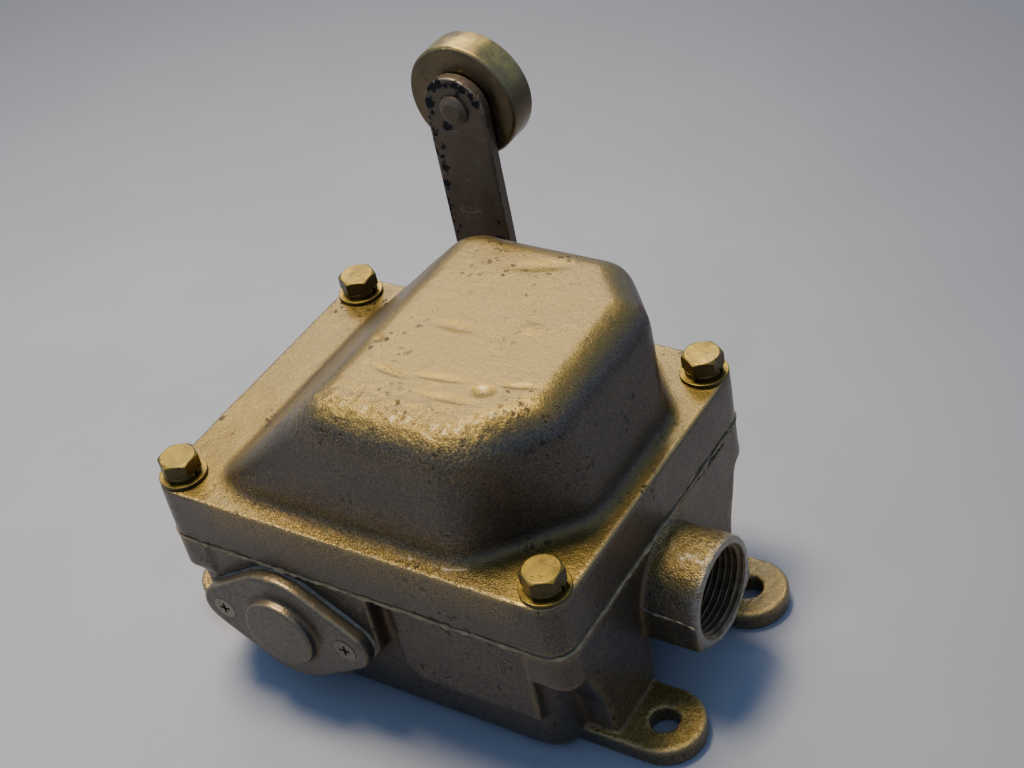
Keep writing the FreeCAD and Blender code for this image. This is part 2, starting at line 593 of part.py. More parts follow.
def make_base():
    body = new_body("base_casting")
    box = new_sketch(body, "box", "XY_Plane", mm.tub_lift)
    draw_rounded_rectangle(box, tub_half_length, tub_half_width, mm.tub_corner)
    pad(body, box, base_height - mm.tub_lift)
    dress(
        body, "Fillet", "box_bottom", mm.tub_bottom_round, lambda p, run, edge: near(p.z, mm.tub_lift)
    )

    # side frame: two legs under an arch, with the bolt bosses at its upper ends
    frame_back = half_length - mm.corner_boss_depth
    boss_bottom = base_height - mm.corner_boss_height
    half_frame = (
        (half_width, base_height),
        (half_width, boss_bottom),
        (mm.leg_outer_top, boss_bottom),
        (mm.leg_outer_middle, mm.leg_middle_height),
        (mm.leg_outer_foot, 0),
        (mm.leg_inner_foot, 0),
        (mm.leg_inner_foot, mm.leg_middle_height / 2),
        (mm.leg_inner_top, arch_top),
    )
    frame = new_sketch(body, "side_frame", "YZ_Plane", frame_back)
    draw_outline(frame, list(half_frame) + [(-y, z) for y, z in reversed(half_frame)])
    pad(body, frame, mm.corner_boss_depth)
    dress(
        body, "Fillet", "boss_undersides", mm.corner_boss_round,
        lambda p, run, edge: along_x(run) and near(p.z, boss_bottom)
        and abs(p.y) > mm.leg_outer_top.value - 1,
    )
    dress(
        body, "Fillet", "arch_corners", mm.arch_round,
        lambda p, run, edge: along_x(run) and near(p.z, arch_top),
    )
    corner_cut = new_sketch(body, "flange_corners", "XY_Plane", base_height)
    beyond = mm.cover_corner * 2
    draw_rectangle(
        corner_cut, -half_length - beyond, half_length + beyond,
        -half_width - beyond, half_width + beyond,
    )
    draw_rounded_rectangle(corner_cut, half_length, half_width, mm.cover_corner)
    pocket(body, corner_cut, mm.corner_boss_height)

    feet = new_sketch(body, "feet", "XY_Plane")
    holes = new_sketch(body, "foot_holes", "XY_Plane", mm.foot_thickness)
    foot_x = mm.foot_pitch_long / 2
    for side in (-1, 1):
        foot_y = mm.foot_pitch_wide / 2 * side
        draw_round_bar(feet, (frame_back, foot_y), (foot_x, foot_y), mm.foot_radius, False)
        draw_circle(holes, foot_x, foot_y, mm.foot_hole / 2)
    pad(body, feet, mm.foot_thickness)
    pocket(body, holes, mm.foot_thickness)
    mirror_body(body, "YZ_Plane")

    # bearing pads at the front and at the back
    for name, side in (("front", 1), ("back", -1)):
        face = new_sketch(body, name + "_pad_outline", "XZ_Plane", tub_half_width * side)
        draw_outline(
            face,
            (
                (shaft_x + mm.pad_reach, base_height),
                (shaft_x + mm.pad_reach, shaft_height - mm.pad_shoulder),
                (shaft_x + mm.pad_bottom_reach, shaft_height - mm.pad_drop),
                (shaft_x - mm.pad_bottom_reach, shaft_height - mm.pad_drop),
                (shaft_x - mm.pad_reach, shaft_height - mm.pad_shoulder),
                (shaft_x - mm.pad_reach, base_height),
            ),
        )
        pad(body, face, mm.pad_depth, reverse=side < 0)
    dress(
        body, "Fillet", "pad_corners", mm.pad_round,
        lambda p, run, edge: along_y(run) and abs(p.y) > tub_half_width.value + 1
        and p.z < shaft_height.value and abs(p.x - shaft_x.value) < mm.pad_reach.value + 1,
    )

    panel = new_sketch(body, "front_panel", "XZ_Plane", tub_half_width - mm.wall / 2)
    panel_top = base_height - mm.panel_top_gap
    draw_outline(
        panel,
        (
            (mm.panel_left, panel_top),
            (mm.panel_left, mm.panel_bottom + mm.panel_cut),
            (mm.panel_left + mm.panel_cut, mm.panel_bottom),
            (mm.panel_right, mm.panel_bottom),
            (mm.panel_right, panel_top),
        ),
    )
    pad(body, panel, mm.panel_depth + mm.wall / 2)

    # cable boss: round above its axis, with cheeks and a flat bottom below it
    boss_back = tub_half_length - mm.wall / 2
    boss = new_sketch(body, "cable_boss", "YZ_Plane", boss_back)
    axis_height = mm.boss_axis_height
    lower = (
        (mm.boss_radius, axis_height),
        (mm.boss_radius, axis_height - mm.boss_cheek),
        (mm.boss_flat, axis_height - mm.boss_drop),
        (-mm.boss_flat, axis_height - mm.boss_drop),
        (-mm.boss_radius, axis_height - mm.boss_cheek),
        (-mm.boss_radius, axis_height),
    )
    spots = [point(y, z) for y, z in lower]
    for i in range(5):
        boss.addGeometry(Part.LineSegment(spots[i + 1], spots[i]), False)
    top_arc = Part.Circle(point(0, axis_height), FreeCAD.Vector(0, 0, 1), mm.boss_radius.value)
    boss.addGeometry(Part.ArcOfCircle(top_arc, 0, math.pi), False)
    for i in range(4):
        boss.addConstraint(Sketcher.Constraint("Coincident", i, 1, i + 1, 2))
    boss.addConstraint(Sketcher.Constraint("Coincident", 5, 1, 0, 2))
    boss.addConstraint(Sketcher.Constraint("Coincident", 5, 2, 4, 1))
    for i, (y, z) in enumerate(lower[:-1]):
        fix_point(boss, i, 2, y, z)
    fix_point(boss, 4, 1, *lower[-1])
    centre = boss.addConstraint(
        Sketcher.Constraint("DistanceY", -1, 1, 5, 3, axis_height.value)
    )
    boss.setExpression("Constraints[%d]" % centre, axis_height.text)
    pad(body, boss, boss_end - boss_back)

    cavity = new_sketch(body, "cavity", "XY_Plane", base_height)
    draw_rectangle(
        cavity, -inner_half_length, inner_half_length, -inner_half_width, inner_half_width
    )
    doc.recompute()
    pocket(body, cavity, base_height - inner_floor)

    # bosses inside the box
    block_bosses = new_sketch(body, "block_bosses", "XY_Plane", inner_floor)
    block_holes = new_sketch(body, "block_holes", "XY_Plane", mm.block_foot_height)
    for side in (-1, 1):
        screw_y = mm.block_screw_pitch / 2 * side
        draw_circle(block_bosses, mm.block_screw_x, screw_y, mm.block_boss_radius)
        draw_circle(
            block_holes, mm.block_screw_x, screw_y, mm.block_screw_diameter / 2 + mm.tapped_gap
        )
    pad(body, block_bosses, mm.block_foot_height - inner_floor)
    earth_boss = new_sketch(body, "earth_boss", "XY_Plane", inner_floor)
    draw_circle(earth_boss, mm.earth_x, -mm.earth_y, mm.earth_boss_radius)
    pad(body, earth_boss, mm.earth_boss_height)
    anchor_boss = new_sketch(body, "anchor_boss", "XZ_Plane", inner_half_width)
    anchor_z = shaft_height - mm.anchor_reach
    draw_circle(anchor_boss, shaft_x, anchor_z, mm.anchor_boss_radius)
    pad(body, anchor_boss, mm.anchor_boss_length, reverse=True)
    doc.recompute()
    pocket(body, block_holes, mm.block_foot_height - inner_floor + mm.floor_thickness / 2)

    # holes
    earth_hole = new_sketch(body, "earth_hole", "XY_Plane", inner_floor + mm.earth_boss_height)
    draw_circle(
        earth_hole, mm.earth_x, -mm.earth_y, mm.block_screw_diameter / 2 + mm.tapped_gap
    )
    pocket(body, earth_hole, mm.earth_depth + mm.tapped_gap * 5)
    anchor_hole = new_sketch(
        body, "anchor_hole", "XZ_Plane", inner_half_width - mm.anchor_boss_length
    )
    draw_circle(anchor_hole, shaft_x, anchor_z, mm.anchor_diameter / 2)
    pocket(body, anchor_hole, mm.anchor_boss_length + mm.wall / 2, reverse=True)
    bolt_holes = new_sketch(body, "bolt_holes", "XY_Plane", base_height)
    for bolt_x, bolt_y in bolt_places():
        draw_circle(bolt_holes, bolt_x, bolt_y, mm.bolt_diameter / 2 + mm.tapped_gap)
    pocket(body, bolt_holes, mm.bolt_grip + mm.tapped_gap * 10)
    for name, side in (("front", 1), ("back", -1)):
        bearing = new_sketch(body, name + "_bearing", "XZ_Plane", pad_face * side)
        draw_circle(bearing, shaft_x, shaft_height, bushing_radius)
        pocket(body, bearing, mm.wall + mm.pad_depth, reverse=side < 0)
        screws = new_sketch(body, name + "_screw_holes", "XZ_Plane", pad_face * side)
        for reach in (-mm.bearing_screw_reach, mm.bearing_screw_reach):
            draw_circle(
                screws, shaft_x + reach, shaft_height, mm.screw_diameter / 2 + mm.tapped_gap
            )
        pocket(body, screws, mm.screw_depth + mm.tapped_gap * 10, reverse=side < 0)
    cable = new_sketch(body, "cable_bore", "YZ_Plane", boss_end)
    draw_circle(cable, 0, axis_height, mm.cable_bore / 2)
    pocket(body, cable, boss_end - inner_half_length)
    return keep(body, "base_casting")


def bolt_places():
    x = half_length - mm.bolt_setback_long
    y = half_width - mm.bolt_setback_wide
    return ((-x, -y), (x, -y), (x, y), (-x, y))


# cover

def dome_outline(left, right, half, inset):
    """Six corners: square on the sloping side, cut corners on the cable side."""
    side = dome_right_foot - inset
    draft = (side - right) / mm.dome_cut_slope
    front_cut = mm.dome_front_cut - inset
    back_cut = mm.dome_back_cut - inset
    front_x = side - (half - front_cut) * mm.dome_cut_slope
    back_x = side - (half - back_cut) * mm.dome_cut_slope
    return (
        (-left, -half), (front_x, -half), (right, -(front_cut + draft)),
        (right, back_cut + draft), (back_x, half), (-left, half),
    )


def make_cover():
    body = new_body("cover_casting")
    flange = new_sketch(body, "flange", "XY_Plane", cover_bottom)
    draw_rounded_rectangle(flange, half_length, half_width, mm.cover_corner)
    pad(body, flange, mm.flange_height)

    foot = new_sketch(body, "dome_foot", "XY_Plane", flange_top)
    draw_outline(
        foot,
        dome_outline(dome_left_foot, dome_right_foot, dome_half_foot, as_size(0)),
    )
    top = new_sketch(body, "dome_top", "XY_Plane", dome_top)
    draw_outline(
        top, dome_outline(dome_left_top, dome_right_top, dome_half_top, as_size(0))
    )
    dome = body.newObject("PartDesign::AdditiveLoft", "dome")
    dome.Profile = foot
    dome.Sections = [top]
    dome.Ruled = True
    doc.recompute()
    above = flange_top.value + 1
    dress(
        body, "Fillet", "dome_side_edges", mm.dome_side_round,
        lambda p, run, edge: p.z > above and abs(run.z) > mm.dome_height.value / 2,
    )
    dress(
        body, "Fillet", "dome_top_edges", mm.dome_top_round,
        lambda p, run, edge: near(p.z, dome_top) and near(run.z, 0),
    )
    dress(
        body, "Fillet", "dome_root", mm.dome_root_round,
        lambda p, run, edge: near(p.z, flange_top) and near(run.z, 0)
        and abs(p.x) < half_length.value - 4 and abs(p.y) < half_width.value - 4,
    )

    # inside: the box's own outline under the flange, then the dome less its wall
    roof = flange_top - mm.dome_wall
    pan = new_sketch(body, "pan", "XY_Plane", cover_bottom)
    draw_rectangle(
        pan, -inner_half_length, inner_half_length, -inner_half_width, inner_half_width
    )
    pocket(body, pan, roof - cover_bottom, reverse=True)
    inset = mm.dome_wall / 2
    hollow_foot = new_sketch(body, "hollow_foot", "XY_Plane", roof)
    draw_outline(
        hollow_foot,
        dome_outline(
            dome_left_foot - mm.dome_wall, dome_right_foot - mm.dome_wall,
            dome_half_foot - mm.dome_wall, inset,
        ),
    )
    hollow_top = new_sketch(body, "hollow_top", "XY_Plane", dome_top - mm.dome_wall)
    draw_outline(
        hollow_top,
        dome_outline(
            dome_left_top - mm.dome_wall / 3, dome_right_top - mm.dome_wall,
            dome_half_top - mm.dome_wall, inset,
        ),
    )
    hollow = body.newObject("PartDesign::SubtractiveLoft", "dome_hollow")
    hollow.Profile = hollow_foot
    hollow.Sections = [hollow_top]
    hollow.Ruled = True
    doc.recompute()

    holes = new_sketch(body, "cover_holes", "XY_Plane", flange_top)
    for bolt_x, bolt_y in bolt_places():
        draw_circle(holes, bolt_x, bolt_y, mm.bolt_diameter / 2 + mm.bolt_hole_gap)
    pocket(body, holes, mm.flange_height)
    return keep(body, "cover_casting")


def make_cover_gasket():
    body = new_body("cover_gasket")
    sheet_cut = new_sketch(body, "gasket_outline", "XY_Plane", base_height)
    draw_rounded_rectangle(
        sheet_cut, half_length - mm.gasket_setback, half_width - mm.gasket_setback, mm.cover_corner
    )
    pad(body, sheet_cut, mm.gasket_thickness)
    doc.recompute()
    window = new_sketch(body, "gasket_window", "XY_Plane", cover_bottom)
    draw_rectangle(
        window, -inner_half_length, inner_half_length, -inner_half_width, inner_half_width
    )
    pocket(body, window, mm.gasket_thickness)
    holes = new_sketch(body, "gasket_holes", "XY_Plane", cover_bottom)
    for bolt_x, bolt_y in bolt_places():
        draw_circle(holes, bolt_x, bolt_y, mm.bolt_diameter / 2 + mm.bolt_hole_gap)
    pocket(body, holes, mm.gasket_thickness)
    return keep(body, "cover_gasket")


def hex_screw(name, x, y, seat, flats, head_height, shank_radius, shank_length):
    """A hexagon screw standing on its seat height, with its head corners turned off."""
    body = new_body(name, x, y, seat)
    head = new_sketch(body, name + "_head", "XY_Plane")
    draw_hexagon(head, as_size(0), as_size(0), flats)
    pad(body, head, head_height)
    shank = new_sketch(body, name + "_shank", "XY_Plane")
    draw_circle(shank, 0, 0, shank_radius)
    pad(body, shank, shank_length, reverse=True)
    doc.recompute()
    bevel = new_sketch(body, name + "_bevel", "XZ_Plane")
    corner = as_size(flats) / root_three
    start = as_size(flats) * 0.47
    outside = corner * 1.1
    draw_outline(
        bevel,
        (
            (start, head_height),
            (outside, head_height),
            (outside, head_height - (outside - start) / root_three),
        ),
    )
    groove = body.newObject("PartDesign::Groove", name + "_bevel_cut")
    groove.Profile = bevel
    groove.ReferenceAxis = (bevel, ["V_Axis"])
    groove.Angle = 360
    doc.recompute()
    return body


def make_cover_fasteners():
    washer_top = flange_top + mm.washer_thickness
    seat = washer_top + mm.spring_washer_thickness
    shank_length = seat - base_height + mm.bolt_grip
    bolt_radius = mm.bolt_diameter / 2
    hole_radius = bolt_radius + mm.tapped_gap
    bolts = []
    flat_washers = []
    spring_washers = []
    for number, (x, y) in enumerate(bolt_places(), start=1):
        bolts.append(
            hex_screw(
                "cover_bolt_%d" % number, x, y, seat, mm.bolt_head_flats, mm.bolt_head_height,
                bolt_radius, shank_length,
            )
        )
        flat_washers.append(
            turned(
                "flat_washer_%d" % number,
                ring_outline(hole_radius, mm.washer_diameter / 2, 0, mm.washer_thickness),
                x, y, flange_top, axis="Z",
            )
        )
        spring_washer = turned(
            "spring_washer_%d" % number,
            ring_outline(
                hole_radius, mm.spring_washer_diameter / 2, 0, mm.spring_washer_thickness
            ),
            x, y, washer_top, axis="Z",
        )
        split = new_sketch(spring_washer, "split_%d" % number, "XY_Plane", mm.spring_washer_thickness)
        draw_rectangle(
            split, bolt_radius, mm.spring_washer_diameter, -mm.slot_width / 2, mm.slot_width / 2
        )
        pocket(spring_washer, split, mm.spring_washer_thickness)
        spring_washers.append(spring_washer)
    group("cover_bolts", bolts)
    group("cover_flat_washers", flat_washers)
    group("cover_spring_washers", spring_washers)


# bearing covers

def draw_diamond(sketch, disc, ear, reach):
    """A disc with an ear on each side and straight lines that touch both."""
    big = as_size(disc).value
    small = as_size(ear).value
    far = as_size(reach).value
    lean = math.asin((big - small) / far)
    up = FreeCAD.Vector(0, 0, 1)
    middle = Part.Circle(FreeCAD.Vector(0, 0, 0), up, big)
    right = Part.Circle(FreeCAD.Vector(far, 0, 0), up, small)
    left = Part.Circle(FreeCAD.Vector(-far, 0, 0), up, small)
    quarter = math.pi / 2

    def touch(centre, radius, angle):
        return FreeCAD.Vector(centre + radius * math.cos(angle), radius * math.sin(angle), 0)

    high = quarter - lean
    low = -high
    sketch.addGeometry(Part.ArcOfCircle(right, low, high), False)
    sketch.addGeometry(
        Part.LineSegment(touch(far, small, high), touch(0, big, high)), False
    )
    sketch.addGeometry(Part.ArcOfCircle(middle, high, math.pi - high), False)
    sketch.addGeometry(
        Part.LineSegment(touch(0, big, math.pi - high), touch(-far, small, math.pi - high)), False
    )
    sketch.addGeometry(Part.ArcOfCircle(left, math.pi - high, math.pi + high), False)
    sketch.addGeometry(
        Part.LineSegment(touch(-far, small, math.pi + high), touch(0, big, math.pi + high)), False
    )
    sketch.addGeometry(Part.ArcOfCircle(middle, math.pi + high, 2 * math.pi + low), False)
    sketch.addGeometry(
        Part.LineSegment(touch(0, big, low), touch(far, small, low)), False
    )
    for i in range(8):
        sketch.addConstraint(Sketcher.Constraint("Tangent", i, 2, (i + 1) % 8, 1))
    fix_point(sketch, 0, 3, reach, 0)
    fix_point(sketch, 4, 3, -as_size(reach), 0)
    fix_point(sketch, 2, 3, 0, 0)
    fix_point(sketch, 6, 3, 0, 0)
    for edge, radius in ((0, ear), (4, ear), (2, disc), (6, disc)):
        set_radius(sketch, edge, radius)


def diamond_plate(name, side, low, thickness, bore, screw_radius):
    """A diamond plate from low outwards; side is 1 at the front and -1 at the back."""
    body = new_body(name, shaft_x, 0, shaft_height)
    outline = new_sketch(body, name + "_outline", "XZ_Plane", low * side)
    draw_diamond(outline, mm.bearing_disc_radius, mm.bearing_ear_radius, mm.bearing_screw_reach)
    pad(body, outline, thickness, reverse=side < 0)
    doc.recompute()
    cuts = new_sketch(body, name + "_holes", "XZ_Plane", low * side)
    if bore is not None:
        draw_circle(cuts, 0, 0, bore)
    for reach in (-mm.bearing_screw_reach, mm.bearing_screw_reach):
        draw_circle(cuts, reach, 0, screw_radius)
    pocket(body, cuts, thickness, reverse=side > 0)
    return body


def countersink(body, side, reach, number):
    """The cone that a countersunk head sinks into."""
    name = "%s_sink_%d" % (body.Name, number)
    sketch = new_sketch(body, name, "XY_Plane")
    outer = bearing_outer * -side
    floor = (bearing_outer - mm.screw_head_depth) * -side
    hole = mm.screw_diameter / 2
    draw_outline(
        sketch,
        ((reach, outer), (reach + mm.screw_head / 2, outer), (reach + hole, floor), (reach, floor)),
    )
    cut = body.newObject("PartDesign::Groove", name + "_cut")
    cut.Profile = sketch
    cut.ReferenceAxis = (sketch, ["Edge4"])
    cut.Angle = 360
    doc.recompute()


def make_bearing_covers():
    screw_hole = mm.screw_diameter / 2
    for label, side in (("front_bearing_cover", 1), ("rear_bearing_cover", -1)):
        body = diamond_plate(label, side, bearing_inner, mm.bearing_plate, None, screw_hole)
        cap = new_sketch(body, label + "_cap", "XZ_Plane", bearing_outer * side)
        draw_circle(cap, 0, 0, mm.bearing_cap_radius)
        pad(body, cap, mm.bearing_cap, reverse=side < 0)
        outer = -bearing_outer.value * side
        end = -bearing_end.value * side
        dress(
            body, "Fillet", label + "_edge", mm.bearing_edge_round,
            lambda p, run, edge: near(p.y, outer) and edge.Length > 15
            and math.hypot(p.x - 0, p.z - 0) > mm.bearing_cap_radius.value + 1,
        )
        dress(
            body, "Fillet", label + "_cap_edge", mm.bearing_edge_round / 2,
            lambda p, run, edge: near(p.y, end),
        )
        seat = new_sketch(body, label + "_seat", "XZ_Plane", bearing_inner * side)
        draw_circle(seat, 0, 0, mm.seal_radius)
        pocket(body, seat, mm.seal_thickness, reverse=side > 0)
        if side < 0:
            bore = new_sketch(body, label + "_bore", "XZ_Plane", bearing_inner * side)
            draw_circle(bore, 0, 0, shaft_radius + mm.bolt_hole_gap)
            pocket(body, bore, mm.bearing_plate + mm.bearing_cap)
        for number, reach in enumerate((-mm.bearing_screw_reach, mm.bearing_screw_reach)):
            countersink(body, side, reach, number)
        keep(body, label)
    for label, side in (("front_bearing_gasket", 1), ("rear_bearing_gasket", -1)):
        plate = diamond_plate(
            label, side, pad_face, mm.bearing_gasket, mm.seal_radius, screw_hole + mm.tapped_gap
        )
        keep(plate, label)


def make_bearing_screws():
    radius = mm.screw_diameter / 2
    screws = []
    for side in (1, -1):
        outer = bearing_outer * -side
        floor = (bearing_outer - mm.screw_head_depth) * -side
        tip = (pad_face - mm.screw_depth) * -side
        for reach in (-mm.bearing_screw_reach, mm.bearing_screw_reach):
            name = "bearing_screw_%d" % (len(screws) + 1)
            outline = [(0, outer), (mm.screw_head / 2, outer), (radius, floor), (radius, tip), (0, tip)]
            body = turned(name, outline, shaft_x + reach, 0, shaft_height)
            recess = new_sketch(body, name + "_recess", "XZ_Plane", bearing_outer * side)
            arm = mm.recess_length / 2
            half = mm.recess_width / 2
            draw_outline(
                recess,
                (
                    (arm, -half), (arm, half), (half, half), (half, arm), (-half, arm),
                    (-half, half), (-arm, half), (-arm, -half), (-half, -half), (-half, -arm),
                    (half, -arm), (half, -half),
                ),
            )
            pocket(body, recess, mm.recess_depth, reverse=side < 0)
            screws.append(body)
    group("bearing_cover_screws", screws)


def make_bushings_and_seal():
    for label, side in (("front_bushing", -1), ("rear_bushing", 1)):
        wall_face = inner_half_width * side
        flange_face = (inner_half_width - mm.bushing_flange) * side
        end = (pad_face - mm.bushing_setback) * side
        outline = [
            (shaft_bore, flange_face),
            (bushing_radius + mm.bushing_flange_lip, flange_face),
            (bushing_radius + mm.bushing_flange_lip, wall_face),
            (bushing_radius, wall_face),
            (bushing_radius, end),
            (shaft_bore, end),
        ]
        keep(turned(label, outline, shaft_x, 0, shaft_height), label)
    seal_end = bearing_inner + mm.seal_thickness
    lip = mm.ring_groove * 2
    outline = [
        (shaft_bore, bearing_inner + lip),
        (shaft_bore + lip, bearing_inner),
        (mm.seal_radius, bearing_inner),
        (mm.seal_radius, seal_end),
        (shaft_bore + lip, seal_end),
        (shaft_bore, seal_end - lip),
    ]
    keep(turned("shaft_seal", outline, shaft_x, 0, shaft_height), "shaft_seal")


# shaft, lever and roller

def ring_places():
    """Inner faces of the two rings that hold the shaft between the bush flanges."""
    outer = inner_half_width - mm.bushing_flange - mm.side_gap
    return outer - mm.ring_thickness, outer


def make_shaft():
    low, high = ring_places()
    groove = shaft_radius - mm.ring_groove
    front = -(pad_face - mm.shaft_nose_gap)
    thread_radius = mm.thread_diameter / 2
    outline = [
        (0, front),
        (shaft_radius, front),
        (shaft_radius, -high), (groove, -high), (groove, -low), (shaft_radius, -low),
        (shaft_radius, low), (groove, low), (groove, high), (shaft_radius, high),
        (shaft_radius, lever_near),
        (thread_radius, lever_near),
        (thread_radius, lever_far + mm.thread_length),
        (0, lever_far + mm.thread_length),
    ]
    body = turned("shaft", outline, shaft_x, 0, shaft_height)
    square = new_sketch(body, "shaft_square", "XZ_Plane", -lever_near)
    half = mm.square_flats / 2
    draw_rectangle(square, -half, half, -half, half)
    pad(body, square, mm.lever_thickness, reverse=True)
    doc.recompute()
    keep(body, "shaft")
    rings = []
    for number, start in enumerate((-high, low)):
        rings.append(
            turned(
                "shaft_ring_%d" % number,
                ring_outline(groove, groove + mm.ring_height, start, start + mm.ring_thickness),
                shaft_x, 0, shaft_height,
            )
        )
    group("shaft_retaining_rings", rings)


def make_lever():
    body = new_body("drive_lever", shaft_x, 0, shaft_height)
    bar = new_sketch(body, "lever_bar", "XZ_Plane", -lever_near)
    draw_round_bar(bar, (0, 0), (0, mm.lever_length), mm.lever_width / 2, True)
    pad(body, bar, mm.lever_thickness, reverse=True)
    doc.recompute()
    holes = new_sketch(body, "lever_holes", "XZ_Plane", -lever_near)
    half = mm.square_flats / 2 + mm.running_gap
    draw_rectangle(holes, -half, half, -half, half)
    draw_circle(holes, 0, mm.lever_length, mm.pin_diameter / 2)
    pocket(body, holes, mm.lever_thickness)
    keep(body, "drive_lever")

    sleeve = ring_outline(
        shaft_radius + mm.running_gap, mm.sleeve_radius, bearing_end + mm.side_gap, lever_near
    )
    keep(turned("lever_sleeve", sleeve, shaft_x, 0, shaft_height), "lever_sleeve")
    thread_bore = mm.thread_diameter / 2 + mm.tapped_gap
    washer_end = lever_far + mm.lever_washer_thickness
    washer = turned(
        "lever_spring_washer",
        ring_outline(thread_bore, mm.lever_washer_diameter / 2, lever_far, washer_end),
        shaft_x, 0, shaft_height,
    )
    keep(washer, "lever_spring_washer")
    nut = new_body("lever_nut", shaft_x, 0, shaft_height)
    flats = new_sketch(nut, "nut_flats", "XZ_Plane", -washer_end)
    draw_hexagon(flats, as_size(0), as_size(0), mm.nut_flats)
    draw_circle(flats, 0, 0, thread_bore)
    pad(nut, flats, mm.nut_height, reverse=True)
    doc.recompute()
    keep(nut, "lever_nut")


def make_roller():
    bush_radius = mm.pin_diameter / 2 + mm.running_gap + mm.roller_bush_wall
    recess_face = roller_far - mm.roller_recess_depth
    edge = mm.roller_radius - mm.roller_chamfer
    outline = [
        (bush_radius, roller_near),
        (edge, roller_near),
        (mm.roller_radius, roller_near + mm.roller_chamfer),
        (mm.roller_radius, roller_far - mm.roller_chamfer),
        (edge, roller_far),
        (mm.roller_recess_radius, roller_far),
        (mm.roller_recess_radius, recess_face),
        (bush_radius, recess_face),
    ]
    keep(turned("lever_roller", outline, shaft_x, 0, roller_height), "lever_roller")
    bush = ring_outline(mm.pin_diameter / 2 + mm.running_gap, bush_radius, roller_near, recess_face)
    keep(turned("roller_bushing", bush, shaft_x, 0, roller_height), "roller_bushing")

    radius = mm.pin_diameter / 2
    groove = radius - mm.ring_groove
    outer_washer = recess_face + mm.running_gap * 2
    ring_start = outer_washer + mm.outer_washer_thickness
    ring_end = ring_start + mm.ring_thickness
    pin_outline = [
        (0, lever_near - mm.pin_head_height),
        (mm.pin_head_radius * 0.6, lever_near - mm.pin_head_height),
        (mm.pin_head_radius, lever_near - mm.pin_head_height * 0.4),
        (mm.pin_head_radius, lever_near),
        (radius, lever_near),
        (radius, ring_start), (groove, ring_start), (groove, ring_end), (radius, ring_end),
        (radius, roller_far),
        (0, roller_far),
    ]
    keep(turned("roller_pin", pin_outline, shaft_x, 0, roller_height), "roller_pin")
    inner = turned(
        "inner_roller_washer",
        ring_outline(
            radius + mm.running_gap, mm.inner_washer_radius, lever_far,
            lever_far + mm.inner_washer_thickness,
        ),
        shaft_x, 0, roller_height,
    )
    outer = turned(
        "outer_roller_washer",
        ring_outline(radius + mm.running_gap, mm.outer_washer_radius, outer_washer, ring_start),
        shaft_x, 0, roller_height,
    )
    group("roller_washers", [inner, outer])
    ring = ring_outline(groove, groove + mm.ring_height, ring_start, ring_end)
    keep(turned("roller_retaining_ring", ring, shaft_x, 0, roller_height), "roller_retaining_ring")


# cams, spring driver and return spring

def turn_about_y(x, z, angle):
    return (
        x * math.cos(angle) + z * math.sin(angle),
        -x * math.sin(angle) + z * math.cos(angle),
    )


def cam_shape(direction):
    """A cam whose flank lifts the follower evenly as the shaft turns; direction 1 lifts forwards."""
    pivot_x = mm.arm_pivot_x.value + mm.shaft_side.value
    pivot_z = mm.arm_pivot_height.value - shaft_height.value
    arm_x = -mm.follower_x.value - mm.arm_pivot_x.value
    arm_z = -pivot_z
    half_turn = math.radians(mm.swing.value + mm.cam_run_on.value)
    reach = mm.follower_radius.value + mm.running_gap.value
    steps = 16

    def follower_seen_from_cam(angle):
        x, z = turn_about_y(arm_x, arm_z, -direction * mm.arm_ratio.value * angle)
        return turn_about_y(pivot_x + x, pivot_z + z, -angle)

    flank = []
    small = 1e-4
    for step in range(steps + 1):
        angle = half_turn * (2.0 * step / steps - 1.0)
        x, z = follower_seen_from_cam(angle)
        x_next, z_next = follower_seen_from_cam(angle + small)
        run = math.hypot(x_next - x, z_next - z)
        normal = ((z_next - z) / run, -(x_next - x) / run)
        if normal[0] * x + normal[1] * z > 0:
            normal = (-normal[0], -normal[1])
        flank.append(FreeCAD.Vector(x + normal[0] * reach, 0, z + normal[1] * reach))
    if flank[0].Length > flank[-1].Length:
        flank.reverse()
    low_radius = flank[0].Length
    start = math.atan2(flank[0].z, flank[0].x)
    end = math.atan2(flank[-1].z, flank[-1].x)
    turn = 1 if (end - start) % (2 * math.pi) < math.pi else -1
    back_span = 2 * math.pi - turn * (end - start) % (2 * math.pi)
    step_foot = FreeCAD.Vector(math.cos(end), 0, math.sin(end)) * low_radius
    middle_angle = end + turn * back_span / 2
    back = FreeCAD.Vector(math.cos(middle_angle), 0, math.sin(middle_angle)) * low_radius
    curve = Part.BSplineCurve()
    curve.interpolate(flank)
    outline = Part.Wire(
        [
            curve.toShape(),
            Part.LineSegment(flank[-1], step_foot).toShape(),
            Part.Arc(step_foot, back, flank[0]).toShape(),
        ]
    )
    thickness = mm.cam_thickness.value
    disc = Part.Face(outline).extrude(FreeCAD.Vector(0, thickness, 0))
    disc.translate(FreeCAD.Vector(0, -thickness / 2, 0))
    return disc


